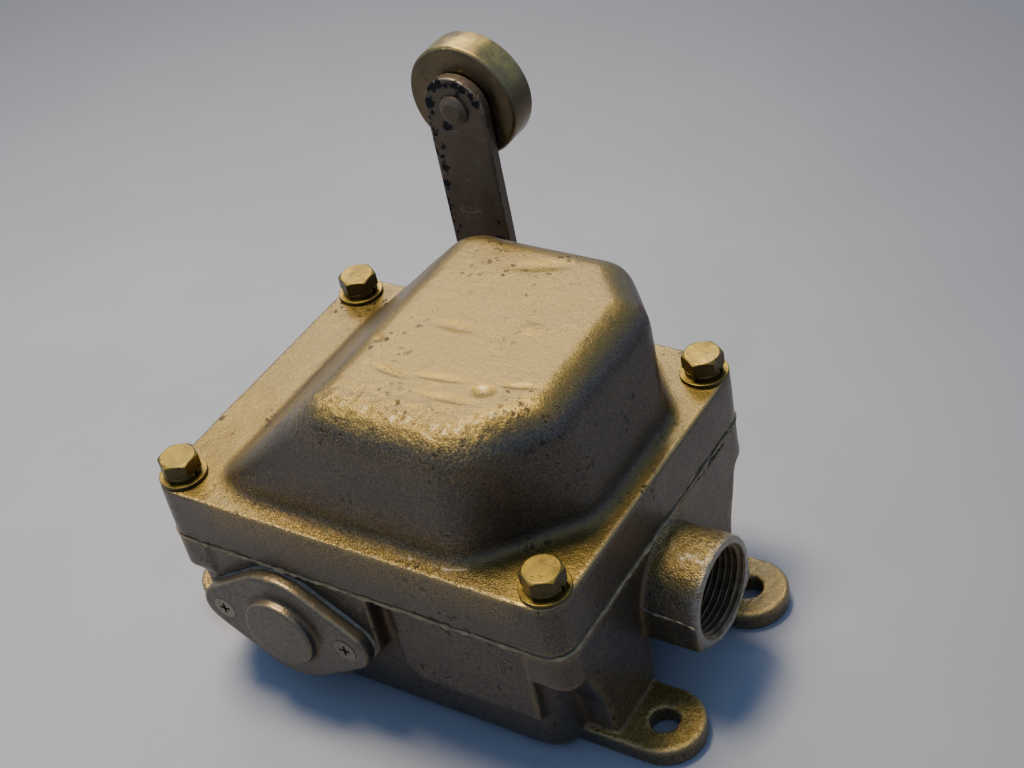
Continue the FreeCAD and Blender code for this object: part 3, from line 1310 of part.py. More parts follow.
def make_cams():
    along = FreeCAD.Vector(0, 1, 0)
    centre = FreeCAD.Vector(0, 0, 0)
    thickness = mm.cam_thickness.value
    hub_length = mm.cam_hub_length.value
    bore = shaft_bore.value
    grub = mm.grub_diameter.value / 2
    reach = thickness + hub_length
    for number, side in ((1, -1), (2, 1)):
        cam = cam_shape(-side)
        hub_start = thickness / 2 if side < 0 else -thickness / 2 - hub_length
        hub = Part.makeCylinder(
            mm.cam_hub_radius.value, hub_length, FreeCAD.Vector(0, hub_start, 0), along
        )
        shape = cam.fuse(hub).removeSplitter()
        shape = shape.cut(
            Part.makeCylinder(bore, reach * 2, FreeCAD.Vector(0, -reach, 0), along)
        )
        screw_y = hub_start + hub_length / 2
        shape = shape.cut(
            Part.makeCylinder(grub, mm.cam_hub_radius.value + 1, FreeCAD.Vector(0, screw_y, 0))
        )
        feature = doc.addObject("Part::Feature", "cam_%d" % number)
        feature.Shape = shape
        feature.Placement.Base = FreeCAD.Vector(
            shaft_x.value, element_y.value * side, shaft_height.value
        )
        keep(feature, "cam_%d" % number)


def make_driver():
    body = new_body("spring_driver", shaft_x, 0, shaft_height)
    back_face = -mm.driver_place
    front_face = back_face - mm.driver_thickness
    hub_end = front_face - mm.driver_hub_length
    profile = new_sketch(body, "driver_profile", "XY_Plane")
    draw_outline(
        profile,
        (
            (shaft_bore, hub_end),
            (mm.driver_hub_radius, hub_end),
            (mm.driver_hub_radius, front_face),
            (mm.driver_radius, front_face),
            (mm.driver_radius, back_face),
            (shaft_bore, back_face),
        ),
    )
    turned_disc = body.newObject("PartDesign::Revolution", "driver_disc")
    turned_disc.Profile = profile
    turned_disc.ReferenceAxis = (profile, ["V_Axis"])
    turned_disc.Angle = 360
    doc.recompute()
    pin_hole = new_sketch(body, "driver_pin_hole", "XZ_Plane", -front_face)
    draw_circle(pin_hole, 0, -mm.driver_pin_reach, mm.driver_pin_diameter / 2)
    pocket(body, pin_hole, mm.driver_thickness)
    grub_hole = new_sketch(body, "driver_grub_hole", "XY_Plane")
    draw_circle(
        grub_hole, 0, back_face - mm.driver_thickness / 2, mm.grub_diameter / 2
    )
    pocket(body, grub_hole, mm.driver_radius + mm.wall, reverse=True)
    keep(body, "spring_driver")

    pin_radius = mm.driver_pin_diameter / 2
    pin_tip = mm.anchor_boss_length + mm.driver_pin_gap - inner_half_width
    pin = turned(
        "driver_pin",
        ((0, back_face), (pin_radius, back_face), (pin_radius, pin_tip), (0, pin_tip)),
        shaft_x, 0, shaft_height - mm.driver_pin_reach,
    )
    keep(pin, "driver_pin")
    anchor_radius = mm.anchor_diameter / 2
    wall_end = -(inner_half_width + mm.wall / 2)
    free_end = -(inner_half_width - mm.anchor_length)
    anchor = turned(
        "spring_anchor_pin",
        ((0, wall_end), (anchor_radius, wall_end), (anchor_radius, free_end), (0, free_end)),
        shaft_x, 0, shaft_height - mm.anchor_reach,
    )
    keep(anchor, "spring_anchor_pin")

    # set screws: one in each cam hub and one in the driver, all from above
    hub_middle = element_y - mm.cam_thickness / 2 - mm.cam_hub_length / 2
    places = (
        (-hub_middle, mm.cam_hub_radius),
        (hub_middle, mm.cam_hub_radius),
        (back_face - mm.driver_thickness / 2, mm.driver_radius),
    )
    grubs = []
    for number, (y, rim) in enumerate(places, start=1):
        screw = turned(
            "set_screw_%d" % number,
            ((0, shaft_radius), (mm.grub_diameter / 2, shaft_radius),
             (mm.grub_diameter / 2, rim - mm.ring_groove), (0, rim - mm.ring_groove)),
            shaft_x, y, shaft_height, axis="Z",
        )
        grubs.append(screw)
    group("set_screws", grubs)


def tangent_path(points, reaches):
    """Straight runs joined by tangent arcs; reaches are the arcs' tangent lengths at the inner points."""
    smallest = 0.01
    edges = []
    start = points[0]
    for before, corner, after, reach in zip(points, points[1:], points[2:], reaches):
        back = (before - corner).normalize()
        ahead = (after - corner).normalize()
        entry = corner + back * reach
        if (entry - start).dot(back) > -smallest:
            entry = start
            reach = (corner - start).Length
        else:
            edges.append(Part.LineSegment(start, entry).toShape())
        half_angle = math.acos(back.dot(ahead)) / 2
        bulge = reach / math.cos(half_angle) - reach * math.tan(half_angle)
        middle = corner + (back + ahead).normalize() * bulge
        leave = corner + ahead * reach
        edges.append(Part.Arc(entry, middle, leave).toShape())
        start = leave
    edges.append(Part.LineSegment(start, points[-1]).toShape())
    return Part.Wire(edges)


def make_return_spring():
    """Torsion spring round the driver hub; its legs hang down past the driver and anchor pins."""
    radius = mm.coil_radius.value
    wire = mm.coil_wire.value / 2
    offset = mm.anchor_diameter.value / 2 + wire + mm.running_gap.value
    turns = round(mm.coil_turns.value)
    arcs_per_turn = 4
    half_arc = math.pi / arcs_per_turn
    reach = radius * math.tan(half_arc)
    corner_radius = radius / math.cos(half_arc)
    bend = mm.coil_bend.value
    length = turns * mm.coil_pitch.value
    points = [FreeCAD.Vector(offset, 0, -mm.coil_leg.value), FreeCAD.Vector(offset, 0, -radius)]
    for step in range(turns * arcs_per_turn):
        angle = half_arc * (2 * step + 1)
        along = length * (step + 0.5) / (turns * arcs_per_turn)
        points.append(
            FreeCAD.Vector(-corner_radius * math.sin(angle), along, -corner_radius * math.cos(angle))
        )
    points.append(FreeCAD.Vector(-offset, length, -radius))
    points.append(FreeCAD.Vector(-offset, length, -mm.coil_leg.value))
    path = tangent_path(points, [bend] + [reach] * (turns * arcs_per_turn) + [bend])
    section = Part.Circle(points[0], FreeCAD.Vector(0, 0, 1), wire).toShape()
    feature = doc.addObject("Part::Feature", "return_spring")
    feature.Shape = path.makePipeShell([Part.Wire(section)], True, True)
    feature.Placement.Base = FreeCAD.Vector(
        shaft_x.value, mm.coil_front.value - inner_half_width.value, shaft_height.value
    )
    keep(feature, "return_spring")


# contact arms

def make_contact_arms():
    pivot_x = mm.arm_pivot_x
    pivot_z = mm.arm_pivot_height
    follower_x = -mm.follower_x
    follower_z = shaft_height
    half_arm = mm.arm_width / 2
    reach = mm.follower_radius
    pin_radius = mm.follower_pin / 2
    for number, side in ((1, -1), (2, 1)):
        middle_y = element_y * side
        tail = "_%d" % number
        body = new_body("contact_arm" + tail, 0, middle_y, 0)
        outline = new_sketch(body, "arm_outline" + tail, "XZ_Plane", -half_arm)
        draw_outline(
            outline,
            (
                (follower_x - pin_radius, follower_z - reach + 1),
                (follower_x + reach - 1, follower_z - pin_radius * 2),
                (pivot_x + mm.arm_hub, pivot_z - mm.arm_hub),
                (pivot_x + mm.arm_hub, pivot_z + mm.arm_hub / 2),
                (arm_face_x, pivot_z + mm.arm_hub * 2),
                (arm_face_x, contact_height + mm.arm_top),
                (arm_face_x - mm.arm_hub, contact_height + mm.arm_top),
                (pivot_x - mm.arm_hub, pivot_z + mm.arm_hub),
                (pivot_x - mm.arm_hub, pivot_z - mm.arm_hub),
                (follower_x - reach + 1, follower_z + pin_radius),
            ),
        )
        pad(body, outline, mm.arm_width)
        doc.recompute()
        slot_half = mm.follower_width / 2 + mm.side_gap
        fork = new_sketch(body, "fork" + tail, "XZ_Plane", -slot_half)
        draw_circle(fork, follower_x, follower_z, reach + mm.side_gap * 4)
        pocket(body, fork, slot_half * 2, reverse=True)
        pins = new_sketch(body, "arm_holes" + tail, "XZ_Plane", half_arm)
        draw_circle(pins, follower_x, follower_z, pin_radius)
        draw_circle(pins, pivot_x, pivot_z, mm.arm_pin_diameter / 2 + mm.running_gap)
        pocket(body, pins, mm.arm_width)
        screw_hole = new_sketch(body, "bridge_hole" + tail, "YZ_Plane", arm_face_x)
        draw_circle(screw_hole, 0, contact_height, mm.small_screw / 2)
        pocket(body, screw_hole, mm.arm_hub)
        keep(body, "contact_arm" + tail)

        pin = turned(
            "follower_pin" + tail,
            ((0, -half_arm), (pin_radius, -half_arm), (pin_radius, half_arm), (0, half_arm)),
            follower_x, middle_y, follower_z,
        )
        keep(pin, "follower_pin" + tail)
        half_roller = mm.follower_width / 2
        roller = turned(
            "follower_roller" + tail,
            ring_outline(pin_radius + mm.running_gap, reach, -half_roller, half_roller),
            follower_x, middle_y, follower_z,
        )
        keep(roller, "follower_roller" + tail)

        bridge = new_body("moving_contact" + tail, 0, middle_y, contact_height)
        leaf = new_sketch(bridge, "bridge_outline" + tail, "XY_Plane", -mm.bridge_height / 2)
        near_x = arm_face_x
        far_x = tip_meeting_x - mm.tip_height
        skin = mm.bridge_thickness
        inner = mm.bridge_middle
        outer = mm.bridge_end
        shoulder = mm.strip_offset - mm.tip_radius
        draw_outline(
            leaf,
            (
                (near_x, -inner - skin),
                (far_x - skin, -shoulder - skin),
                (far_x - skin, -outer),
                (far_x, -outer),
                (far_x, -shoulder),
                (near_x + skin, -inner),
                (near_x + skin, inner),
                (far_x, shoulder),
                (far_x, outer),
                (far_x - skin, outer),
                (far_x - skin, shoulder + skin),
                (near_x, inner + skin),
            ),
        )
        pad(bridge, leaf, mm.bridge_height)
        doc.recompute()
        hole = new_sketch(bridge, "bridge_screw_hole" + tail, "YZ_Plane", near_x + skin)
        draw_circle(hole, 0, 0, mm.small_screw / 2)
        pocket(bridge, hole, skin)
        keep(bridge, "moving_contact" + tail)
        tips = []
        for spot in (-1, 1):
            tips.append(
                turned(
                    "moving_tip_%d_%d" % (number, spot + 1),
                    ((0, far_x), (mm.tip_radius, far_x), (mm.tip_radius, tip_meeting_x),
                     (0, tip_meeting_x)),
                    0, middle_y + mm.strip_offset * spot, contact_height, axis="X",
                )
            )
        group("moving_tips" + tail, tips)
        screw = turned(
            "bridge_screw" + tail,
            (
                (0, arm_face_x - mm.arm_hub * 0.8),
                (mm.small_screw / 2, arm_face_x - mm.arm_hub * 0.8),
                (mm.small_screw / 2, near_x + skin),
                (mm.small_head_radius, near_x + skin),
                (mm.small_head_radius, near_x + skin + mm.small_head_height),
                (0, near_x + skin + mm.small_head_height),
            ),
            0, middle_y, contact_height, axis="X",
        )
        keep(screw, "bridge_screw" + tail)


# contact block with fixed contacts and terminals

def make_contact_block():
    body = new_body("contact_block")
    half = mm.block_half_width
    face = mm.block_face
    back = face + mm.block_thickness
    bottom = mm.block_foot_height
    foot_top = bottom + mm.block_foot_thickness
    profile = new_sketch(body, "block_profile", "XZ_Plane", -half)
    draw_outline(
        profile,
        (
            (face, bottom),
            (face + mm.block_foot_length, bottom),
            (face + mm.block_foot_length, foot_top),
            (back, foot_top),
            (back, block_top),
            (face, block_top),
        ),
    )
    pad(body, profile, half * 2)
    dress(
        body, "Fillet", "block_foot_round", mm.block_foot_thickness,
        lambda p, run, edge: along_y(run) and near(p.z, foot_top) and near(p.x, back),
    )

    # ears for the pivot pin: one at each side and a wide one between the arms
    arm_outer = element_y + mm.arm_width / 2 + mm.arm_side_gap
    arm_inner = element_y - mm.arm_width / 2 - mm.arm_side_gap
    ears = (
        ("left_ear", arm_outer, mm.ear_thickness),
        ("middle_ear", -arm_inner, arm_inner * 2),
        ("right_ear", -(arm_outer + mm.ear_thickness), mm.ear_thickness),
    )
    for name, low, thickness in ears:
        ear = new_sketch(body, name, "XZ_Plane", low)
        draw_round_bar(
            ear, (face + mm.wall / 2, mm.arm_pivot_height),
            (mm.arm_pivot_x, mm.arm_pivot_height), mm.arm_hub, True,
        )
        pad(body, ear, thickness)
    doc.recompute()
    pin_hole = new_sketch(body, "pivot_hole", "XZ_Plane", half + mm.ear_thickness)
    draw_circle(pin_hole, mm.arm_pivot_x, mm.arm_pivot_height, mm.arm_pin_diameter / 2)
    pocket(body, pin_hole, (half + mm.ear_thickness) * 2)
    foot_holes = new_sketch(body, "block_foot_holes", "XY_Plane", foot_top)
    for side in (-1, 1):
        draw_circle(
            foot_holes, mm.block_screw_x, mm.block_screw_pitch / 2 * side,
            mm.block_screw_diameter / 2 + mm.tapped_gap,
        )
    pocket(body, foot_holes, mm.block_foot_thickness)
    terminal_holes = new_sketch(body, "terminal_holes", "XY_Plane", block_top)
    for y in strip_places():
        draw_circle(
            terminal_holes, face + mm.block_thickness / 2, y, mm.terminal_diameter / 2
        )
    pocket(body, terminal_holes, mm.terminal_depth + mm.tapped_gap * 5)
    keep(body, "contact_block")

    pin_end = arm_outer + mm.ear_thickness
    pin_radius = mm.arm_pin_diameter / 2
    pivot = turned(
        "arm_pivot_pin",
        ((0, -pin_end), (pin_radius, -pin_end), (pin_radius, pin_end), (0, pin_end)),
        mm.arm_pivot_x, 0, mm.arm_pivot_height,
    )
    keep(pivot, "arm_pivot_pin")

    screws = []
    for number, side in ((1, -1), (2, 1)):
        screws.append(
            hex_screw(
                "block_screw_%d" % number, mm.block_screw_x, mm.block_screw_pitch / 2 * side,
                foot_top, mm.earth_head_flats, mm.earth_head_height,
                mm.block_screw_diameter / 2, mm.block_foot_thickness + mm.earth_depth,
            )
        )
    group("contact_block_screws", screws)
    earth_seat = inner_floor + mm.earth_boss_height
    earth_washer = turned(
        "earth_washer",
        ring_outline(
            mm.block_screw_diameter / 2 + mm.tapped_gap, mm.earth_head_flats * 0.6, 0,
            mm.terminal_washer_thickness,
        ),
        mm.earth_x, -mm.earth_y, earth_seat, axis="Z",
    )
    keep(earth_washer, "earth_washer")
    earth = hex_screw(
        "earth_screw", mm.earth_x, -mm.earth_y, earth_seat + mm.terminal_washer_thickness,
        mm.earth_head_flats, mm.earth_head_height, mm.block_screw_diameter / 2,
        mm.terminal_washer_thickness + mm.earth_depth,
    )
    keep(earth, "earth_screw")


def strip_places():
    return [
        element_y * element + mm.strip_offset * side for element in (-1, 1) for side in (-1, 1)
    ]


def make_fixed_contacts():
    face = mm.block_face
    screw_x = face + mm.block_thickness / 2
    strip_top = block_top + mm.strip_thickness
    washer_top = strip_top + mm.terminal_washer_thickness
    strips = []
    tips = []
    washers = []
    screws = []
    for number, y in enumerate(strip_places(), start=1):
        strip = new_body("strip_%d" % number, 0, y, 0)
        profile = new_sketch(strip, "strip_profile_%d" % number, "XZ_Plane", -mm.strip_width / 2)
        draw_outline(
            profile,
            (
                (strip_face_x, block_top - mm.strip_drop),
                (face, block_top - mm.strip_drop),
                (face, block_top),
                (face + mm.block_thickness, block_top),
                (face + mm.block_thickness, strip_top),
                (strip_face_x, strip_top),
            ),
        )
        pad(strip, profile, mm.strip_width)
        doc.recompute()
        hole = new_sketch(strip, "strip_hole_%d" % number, "XY_Plane", strip_top)
        draw_circle(hole, screw_x, 0, mm.terminal_diameter / 2 + mm.tapped_gap)
        pocket(strip, hole, mm.strip_thickness)
        strips.append(strip)
        tips.append(
            turned(
                "fixed_tip_%d" % number,
                ((0, tip_meeting_x), (mm.tip_radius, tip_meeting_x), (mm.tip_radius, strip_face_x),
                 (0, strip_face_x)),
                0, y, contact_height, axis="X",
            )
        )
        washers.append(
            turned(
                "terminal_washer_%d" % number,
                ring_outline(
                    mm.terminal_diameter / 2 + mm.tapped_gap, mm.terminal_washer_radius, 0,
                    mm.terminal_washer_thickness,
                ),
                screw_x, y, strip_top, axis="Z",
            )
        )
        radius = mm.terminal_diameter / 2
        screw = turned(
            "terminal_screw_%d" % number,
            (
                (0, block_top - mm.terminal_depth),
                (radius, block_top - mm.terminal_depth),
                (radius, washer_top),
                (mm.terminal_head_radius, washer_top),
                (mm.terminal_head_radius, washer_top + mm.terminal_head_height),
                (0, washer_top + mm.terminal_head_height),
            ),
            screw_x, y, 0, axis="Z",
        )
        slot = new_sketch(
            screw, "terminal_slot_%d" % number, "XY_Plane", washer_top + mm.terminal_head_height
        )
        reach = mm.terminal_head_radius + 1
        draw_rectangle(slot, -reach, reach, -mm.slot_width / 2, mm.slot_width / 2)
        pocket(screw, slot, mm.terminal_head_height / 2)
        screws.append(screw)
    group("fixed_contacts", strips)
    group("fixed_tips", tips)
    group("terminal_washers", washers)
    group("terminal_screws", screws)

    # leaf springs that hold the followers on their cams
    leaves = []
    for number, side in ((1, -1), (2, 1)):
        leaf = new_body("leaf_%d" % number, 0, element_y * side, 0)
        profile = new_sketch(leaf, "leaf_profile_%d" % number, "XZ_Plane", -mm.leaf_width / 2)
        skin = mm.leaf_thickness
        tip_x = mm.leaf_tip_x
        draw_outline(
            profile,
            (
                (face - skin, mm.leaf_bottom),
                (face, mm.leaf_bottom),
                (face, mm.leaf_bend),
                (tip_x + skin, mm.leaf_tip),
                (tip_x, mm.leaf_tip),
                (face - skin, mm.leaf_bend - skin),
            ),
        )
        pad(leaf, profile, mm.leaf_width)
        leaves.append(leaf)
    group("arm_springs", leaves)


make_base()
make_cover()
make_cover_gasket()
make_cover_fasteners()
make_bearing_covers()
make_bearing_screws()
make_bushings_and_seal()
make_shaft()
make_lever()
make_roller()
make_cams()
make_driver()
make_return_spring()
make_contact_arms()
make_contact_block()
make_fixed_contacts()
doc.recompute()

# every object and every sub-part is tested before anything is written
for item in doc.Objects:
    if "Invalid" in item.State or "Error" in item.State:
        raise ValueError("%s did not build: %s" % (item.Name, item.State))
os.makedirs("parts", exist_ok=True)
for item in node_objects:
    if item.Shape.isNull() or not item.Shape.isValid():
        raise ValueError("%s has no valid shape" % item.Label)
for item in node_objects:
    item.Shape.exportStep("parts/%s.step" % item.Label)
print("%d sub-parts written" % len(node_objects))
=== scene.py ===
import json
import math
import random

import bmesh
import bpy
import numpy as np
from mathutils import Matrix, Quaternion, Vector, noise


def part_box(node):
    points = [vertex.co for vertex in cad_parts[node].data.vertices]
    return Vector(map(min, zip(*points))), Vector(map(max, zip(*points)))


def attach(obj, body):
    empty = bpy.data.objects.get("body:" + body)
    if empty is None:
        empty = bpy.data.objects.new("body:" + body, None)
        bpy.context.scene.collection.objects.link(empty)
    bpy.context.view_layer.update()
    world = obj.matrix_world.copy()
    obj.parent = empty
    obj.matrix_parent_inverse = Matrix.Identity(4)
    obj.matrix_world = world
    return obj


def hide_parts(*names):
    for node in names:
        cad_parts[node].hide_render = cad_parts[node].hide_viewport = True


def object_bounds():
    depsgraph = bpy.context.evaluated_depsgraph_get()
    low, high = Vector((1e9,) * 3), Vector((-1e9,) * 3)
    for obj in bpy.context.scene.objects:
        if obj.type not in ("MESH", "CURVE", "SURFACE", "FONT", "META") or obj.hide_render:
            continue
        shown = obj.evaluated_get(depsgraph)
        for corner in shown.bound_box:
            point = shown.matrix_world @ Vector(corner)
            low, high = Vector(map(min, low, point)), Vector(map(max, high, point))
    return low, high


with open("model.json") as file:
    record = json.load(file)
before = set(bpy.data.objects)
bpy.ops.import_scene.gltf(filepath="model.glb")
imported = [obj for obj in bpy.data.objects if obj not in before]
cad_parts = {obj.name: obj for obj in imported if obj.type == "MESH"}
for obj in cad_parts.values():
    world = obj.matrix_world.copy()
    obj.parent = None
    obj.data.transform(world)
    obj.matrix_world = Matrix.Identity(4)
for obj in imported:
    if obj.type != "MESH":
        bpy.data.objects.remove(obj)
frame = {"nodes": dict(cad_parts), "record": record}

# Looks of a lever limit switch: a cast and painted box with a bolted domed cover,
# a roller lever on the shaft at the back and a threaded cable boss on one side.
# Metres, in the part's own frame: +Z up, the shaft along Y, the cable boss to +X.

mm = 0.001
cadNodes = frame["nodes"]
cadLow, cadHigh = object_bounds()
print("frame: %d nodes" % len(cadNodes))


def intoScene(obj):
    bpy.context.scene.collection.objects.link(obj)
    return obj


# Camera, at the photograph's viewing angle

cameraView = {
    "place": (324.396 * mm, -358.306 * mm, 478.262 * mm),
    "azimuth": 39.0056,  # degrees round from the front, towards the cable side
    "elevation": 38.3963,  # degrees above the horizon
    "roll": -12.5277,  # degrees, the picture leans
    "lens": 62.544,
    "sensor": 36.0,
}


def makeCamera(view):
    turn, lift = math.radians(view["azimuth"]), math.radians(view["elevation"])
    forward = Vector((-math.sin(turn) * math.cos(lift), math.cos(turn) * math.cos(lift), -math.sin(lift)))
    data = bpy.data.cameras.new("camera")
    data.lens, data.sensor_width = view["lens"], view["sensor"]
    data.clip_start, data.clip_end = 0.01, 20
    camera = intoScene(bpy.data.objects.new("camera", data))
    camera.location = view["place"]
    camera.rotation_mode = "QUATERNION"
    lean = Quaternion((0, 0, 1), math.radians(view["roll"]))
    camera.rotation_quaternion = forward.to_track_quat("-Z", "Y") @ lean
    bpy.context.scene.camera = camera


makeCamera(cameraView)
print("camera set")


# Helpers for node trees

def fill(tree, node, values):  # a value may be another node's socket
    for name, value in values.items():
        if isinstance(value, bpy.types.NodeSocket):
            tree.links.new(value, node.inputs[name])
        else:
            node.inputs[name].default_value = value
    return node


def put(tree, kind, values=None, **settings):  # one shader node
    node = tree.nodes.new("ShaderNode" + kind)
    for name, value in settings.items():
        setattr(node, name, value)
    return fill(tree, node, values or {})


def sums(tree, operation, first, second=0.0, third=0.0, clamp=False):
    values = {0: first, 1: second, 2: third}
    return put(tree, "Math", values, operation=operation, use_clamp=clamp).outputs[0]


def ramp(tree, value, low, high, start=0.0, end=1.0):
    values = {"Value": value, "From Min": low, "From Max": high, "To Min": start, "To Max": end}
    return put(tree, "MapRange", values, interpolation_type="SMOOTHSTEP").outputs["Result"]


def blendColour(tree, factor, first, second):
    return put(tree, "Mix", {0: factor, 6: first, 7: second}, data_type="RGBA").outputs[2]


def blendValue(tree, factor, first, second):
    return put(tree, "Mix", {0: factor, 2: first, 3: second}, data_type="FLOAT").outputs[0]


def speckle(tree, coords, scale, detail, rough=0.5, warp=0.0):
    values = {"Vector": coords, "Scale": scale, "Detail": detail, "Roughness": rough, "Distortion": warp}
    return put(tree, "TexNoise", values).outputs["Fac"]


def stretched(tree, coords, scale, turn):
    values = {"Vector": coords, "Scale": scale, "Rotation": turn}
    return put(tree, "Mapping", values).outputs["Vector"]


def newGroup(name, inputs, outputs):  # a node group with float inputs and outputs
    tree = bpy.data.node_groups.new(name, "ShaderNodeTree")
    for label, value in inputs.items():
        socket = tree.interface.new_socket(label, in_out="INPUT", socket_type="NodeSocketFloat")
        socket.default_value = value
    for label in outputs:
        tree.interface.new_socket(label, in_out="OUTPUT", socket_type="NodeSocketFloat")
    entry, leave = tree.nodes.new("NodeGroupInput"), tree.nodes.new("NodeGroupOutput")
    return tree, entry.outputs, leave.inputs


def place(tree, group, values):  # the group as one node in a material
    node = tree.nodes.new("ShaderNodeGroup")
    node.node_tree = group
    return fill(tree, node, values).outputs


# Effects that several finishes share

def castGrainGroup():
    tree, given, result = newGroup(
        "castGrain", {"Grain": 1.0, "Pits": 1.0, "Flow": 1.0}, ("Height", "PitMask", "Tone", "Fine"))
    link = tree.links.new
    coords = put(tree, "TexCoord").outputs["Object"]
    fine = speckle(tree, coords, 1400.0, 3.0, 0.6)
    skin = speckle(tree, coords, 420.0, 4.0, 0.62)
    lumps = speckle(tree, coords, 95.0, 3.0, 0.5)
    tone = speckle(tree, coords, 26.0, 4.0, 0.6, 0.6)
    warped = put(tree, "TexNoise", {"Vector": coords, "Scale": 60.0, "Detail": 2.0}).outputs["Color"]
    bent = put(tree, "VectorMath", {0: warped, 1: (0.004, 0.004, 0.004)}, operation="MULTIPLY").outputs[0]
    bent = put(tree, "VectorMath", {0: coords, 1: bent}, operation="ADD").outputs[0]
    cells = put(tree, "TexVoronoi", {"Vector": bent, "Scale": 330.0, "Randomness": 1.0}).outputs["Distance"]
    patches = ramp(tree, speckle(tree, coords, 34.0, 5.0, 0.75), 0.5, 0.64)
    cells = sums(tree, "MULTIPLY_ADD", speckle(tree, coords, 700.0, 3.0, 0.75), 1.3, cells)
    pits = sums(tree, "MULTIPLY", ramp(tree, cells, 0.95, 0.83), patches)
    pits = sums(tree, "MULTIPLY", pits, given["Pits"])
    folds = speckle(tree, stretched(tree, bent, (1.0, 2.2, 1.0), (0, 0, 0.5)), 75.0, 3.0, 0.45)
    ridges = sums(tree, "ABSOLUTE", sums(tree, "SUBTRACT", folds, 0.5))
    folds = sums(tree, "MULTIPLY", ramp(tree, ridges, 0.045, 0.0), given["Flow"])
    height = sums(tree, "MULTIPLY", sums(tree, "MULTIPLY_ADD", skin, 0.5, sums(tree, "MULTIPLY", fine, 0.35)),
                  given["Grain"])
    height = sums(tree, "MULTIPLY_ADD", lumps, 0.4, height)
    height = sums(tree, "MULTIPLY_ADD", pits, -0.9, height)
    height = sums(tree, "MULTIPLY_ADD", folds, -0.06, height)
    link(height, result["Height"])
    link(pits, result["PitMask"])
    link(tone, result["Tone"])
    link(fine, result["Fine"])
    return tree


def edgeWearGroup():
    tree, given, result = newGroup(
        "edgeWear", {"Ridge": 0.0, "Amount": 1.0, "Start": 0.2, "Size": 300.0}, ("Mask",))
    coords = put(tree, "TexCoord").outputs["Object"]
    rub = speckle(tree, coords, given["Size"], 5.0, 0.65)
    worn = sums(tree, "MULTIPLY_ADD", sums(tree, "SUBTRACT", rub, 0.5), 0.9, given["Ridge"])
    mask = ramp(tree, worn, given["Start"], sums(tree, "ADD", given["Start"], 0.35))
    tree.links.new(sums(tree, "MULTIPLY", mask, given["Amount"], clamp=True), result["Mask"])
    return tree


# darker patches, stronger in hollows: a noisy mask
def darkPatchGroup():
    tree, given, result = newGroup("darkPatches", {"Hollow": 0.0, "Amount": 1.0, "Size": 140.0}, ("Mask",))
    coords = put(tree, "TexCoord").outputs["Object"]
    spots = speckle(tree, coords, given["Size"], 6.0, 0.7, 0.4)
    darkMark = sums(tree, "MULTIPLY_ADD", given["Hollow"], 0.6, sums(tree, "MULTIPLY", spots, 0.55))
    mask = ramp(tree, darkMark, 0.38, 0.62)
    tree.links.new(sums(tree, "MULTIPLY", mask, given["Amount"], clamp=True), result["Mask"])
    return tree


def scratchGroup():
    tree, given, result = newGroup("scratches", {"Size": 60.0, "Amount": 1.0}, ("Mask", "Height"))
    coords = put(tree, "TexCoord").outputs["Object"]
    total = None
    for stretch, turn in (((1.0, 14.0, 3.0), (0.3, 0.2, 0.6)), ((12.0, 1.0, 2.0), (0.1, 0.5, -0.4))):
        lines = speckle(tree, stretched(tree, coords, stretch, turn), given["Size"], 2.0, 0.4)
        thin = ramp(tree, sums(tree, "ABSOLUTE", sums(tree, "SUBTRACT", lines, 0.56)), 0.008, 0.0)
        total = thin if total is None else sums(tree, "MAXIMUM", total, thin)
    some = ramp(tree, speckle(tree, coords, 70.0, 3.0), 0.5, 0.62)
    mask = sums(tree, "MULTIPLY", sums(tree, "MULTIPLY", total, some), given["Amount"], clamp=True)
    tree.links.new(mask, result["Mask"])
    tree.links.new(sums(tree, "MULTIPLY", mask, -1.0), result["Height"])
    return tree


def turningGroup():  # fine rings round an axis along Y
    tree, given, result = newGroup("turningMarks", {"X": 0.0, "Z": 0.0, "Pitch": 0.35 * mm}, ("Height",))
    coords = put(tree, "SeparateXYZ", {0: put(tree, "TexCoord").outputs["Object"]}).outputs
    across = sums(tree, "SUBTRACT", coords["X"], given["X"])
    up = sums(tree, "SUBTRACT", coords["Z"], given["Z"])
    squares = sums(tree, "ADD", sums(tree, "MULTIPLY", across, across), sums(tree, "MULTIPLY", up, up))
    reach = sums(tree, "SQRT", squares)
    rings = put(tree, "CombineXYZ", {0: sums(tree, "DIVIDE", reach, given["Pitch"]),
                                     1: sums(tree, "DIVIDE", coords["Y"], given["Pitch"])}).outputs[0]
    tree.links.new(speckle(tree, rings, 1.0, 2.0, 0.6), result["Height"])
    return tree


castGrain = castGrainGroup()
edgeWear = edgeWearGroup()
darkPatches = darkPatchGroup()
scratches = scratchGroup()
turningMarks = turningGroup()
print("node groups made")


# Finishes

def startMaterial(name, **fixed):  # a material and its shader; values that are the same all over are set here
    material = bpy.data.materials.new(name)
    material.use_nodes = True
    tree = material.node_tree
    shader = tree.nodes["Principled BSDF"]
    for label, value in fixed.items():
        shader.inputs[label.replace("_", " ")].default_value = value
    return material, tree, shader


def facingUp(tree, low, high):  # 0 on upright faces, 1 on those that look up; the finishes use it to paint light on faces that look up and shade on upright ones
    normal = put(tree, "SeparateXYZ", {0: put(tree, "NewGeometry").outputs["Normal"]})
    return ramp(tree, normal.outputs["Z"], low, high)


def attribute(tree, name):
    return put(tree, "Attribute", attribute_name=name).outputs["Fac"]


def bumpInto(tree, shader, height, depth):
    bump = put(tree, "Bump", {"Height": height, "Distance": depth, "Strength": 1.0})
    tree.links.new(bump.outputs["Normal"], shader.inputs["Normal"])


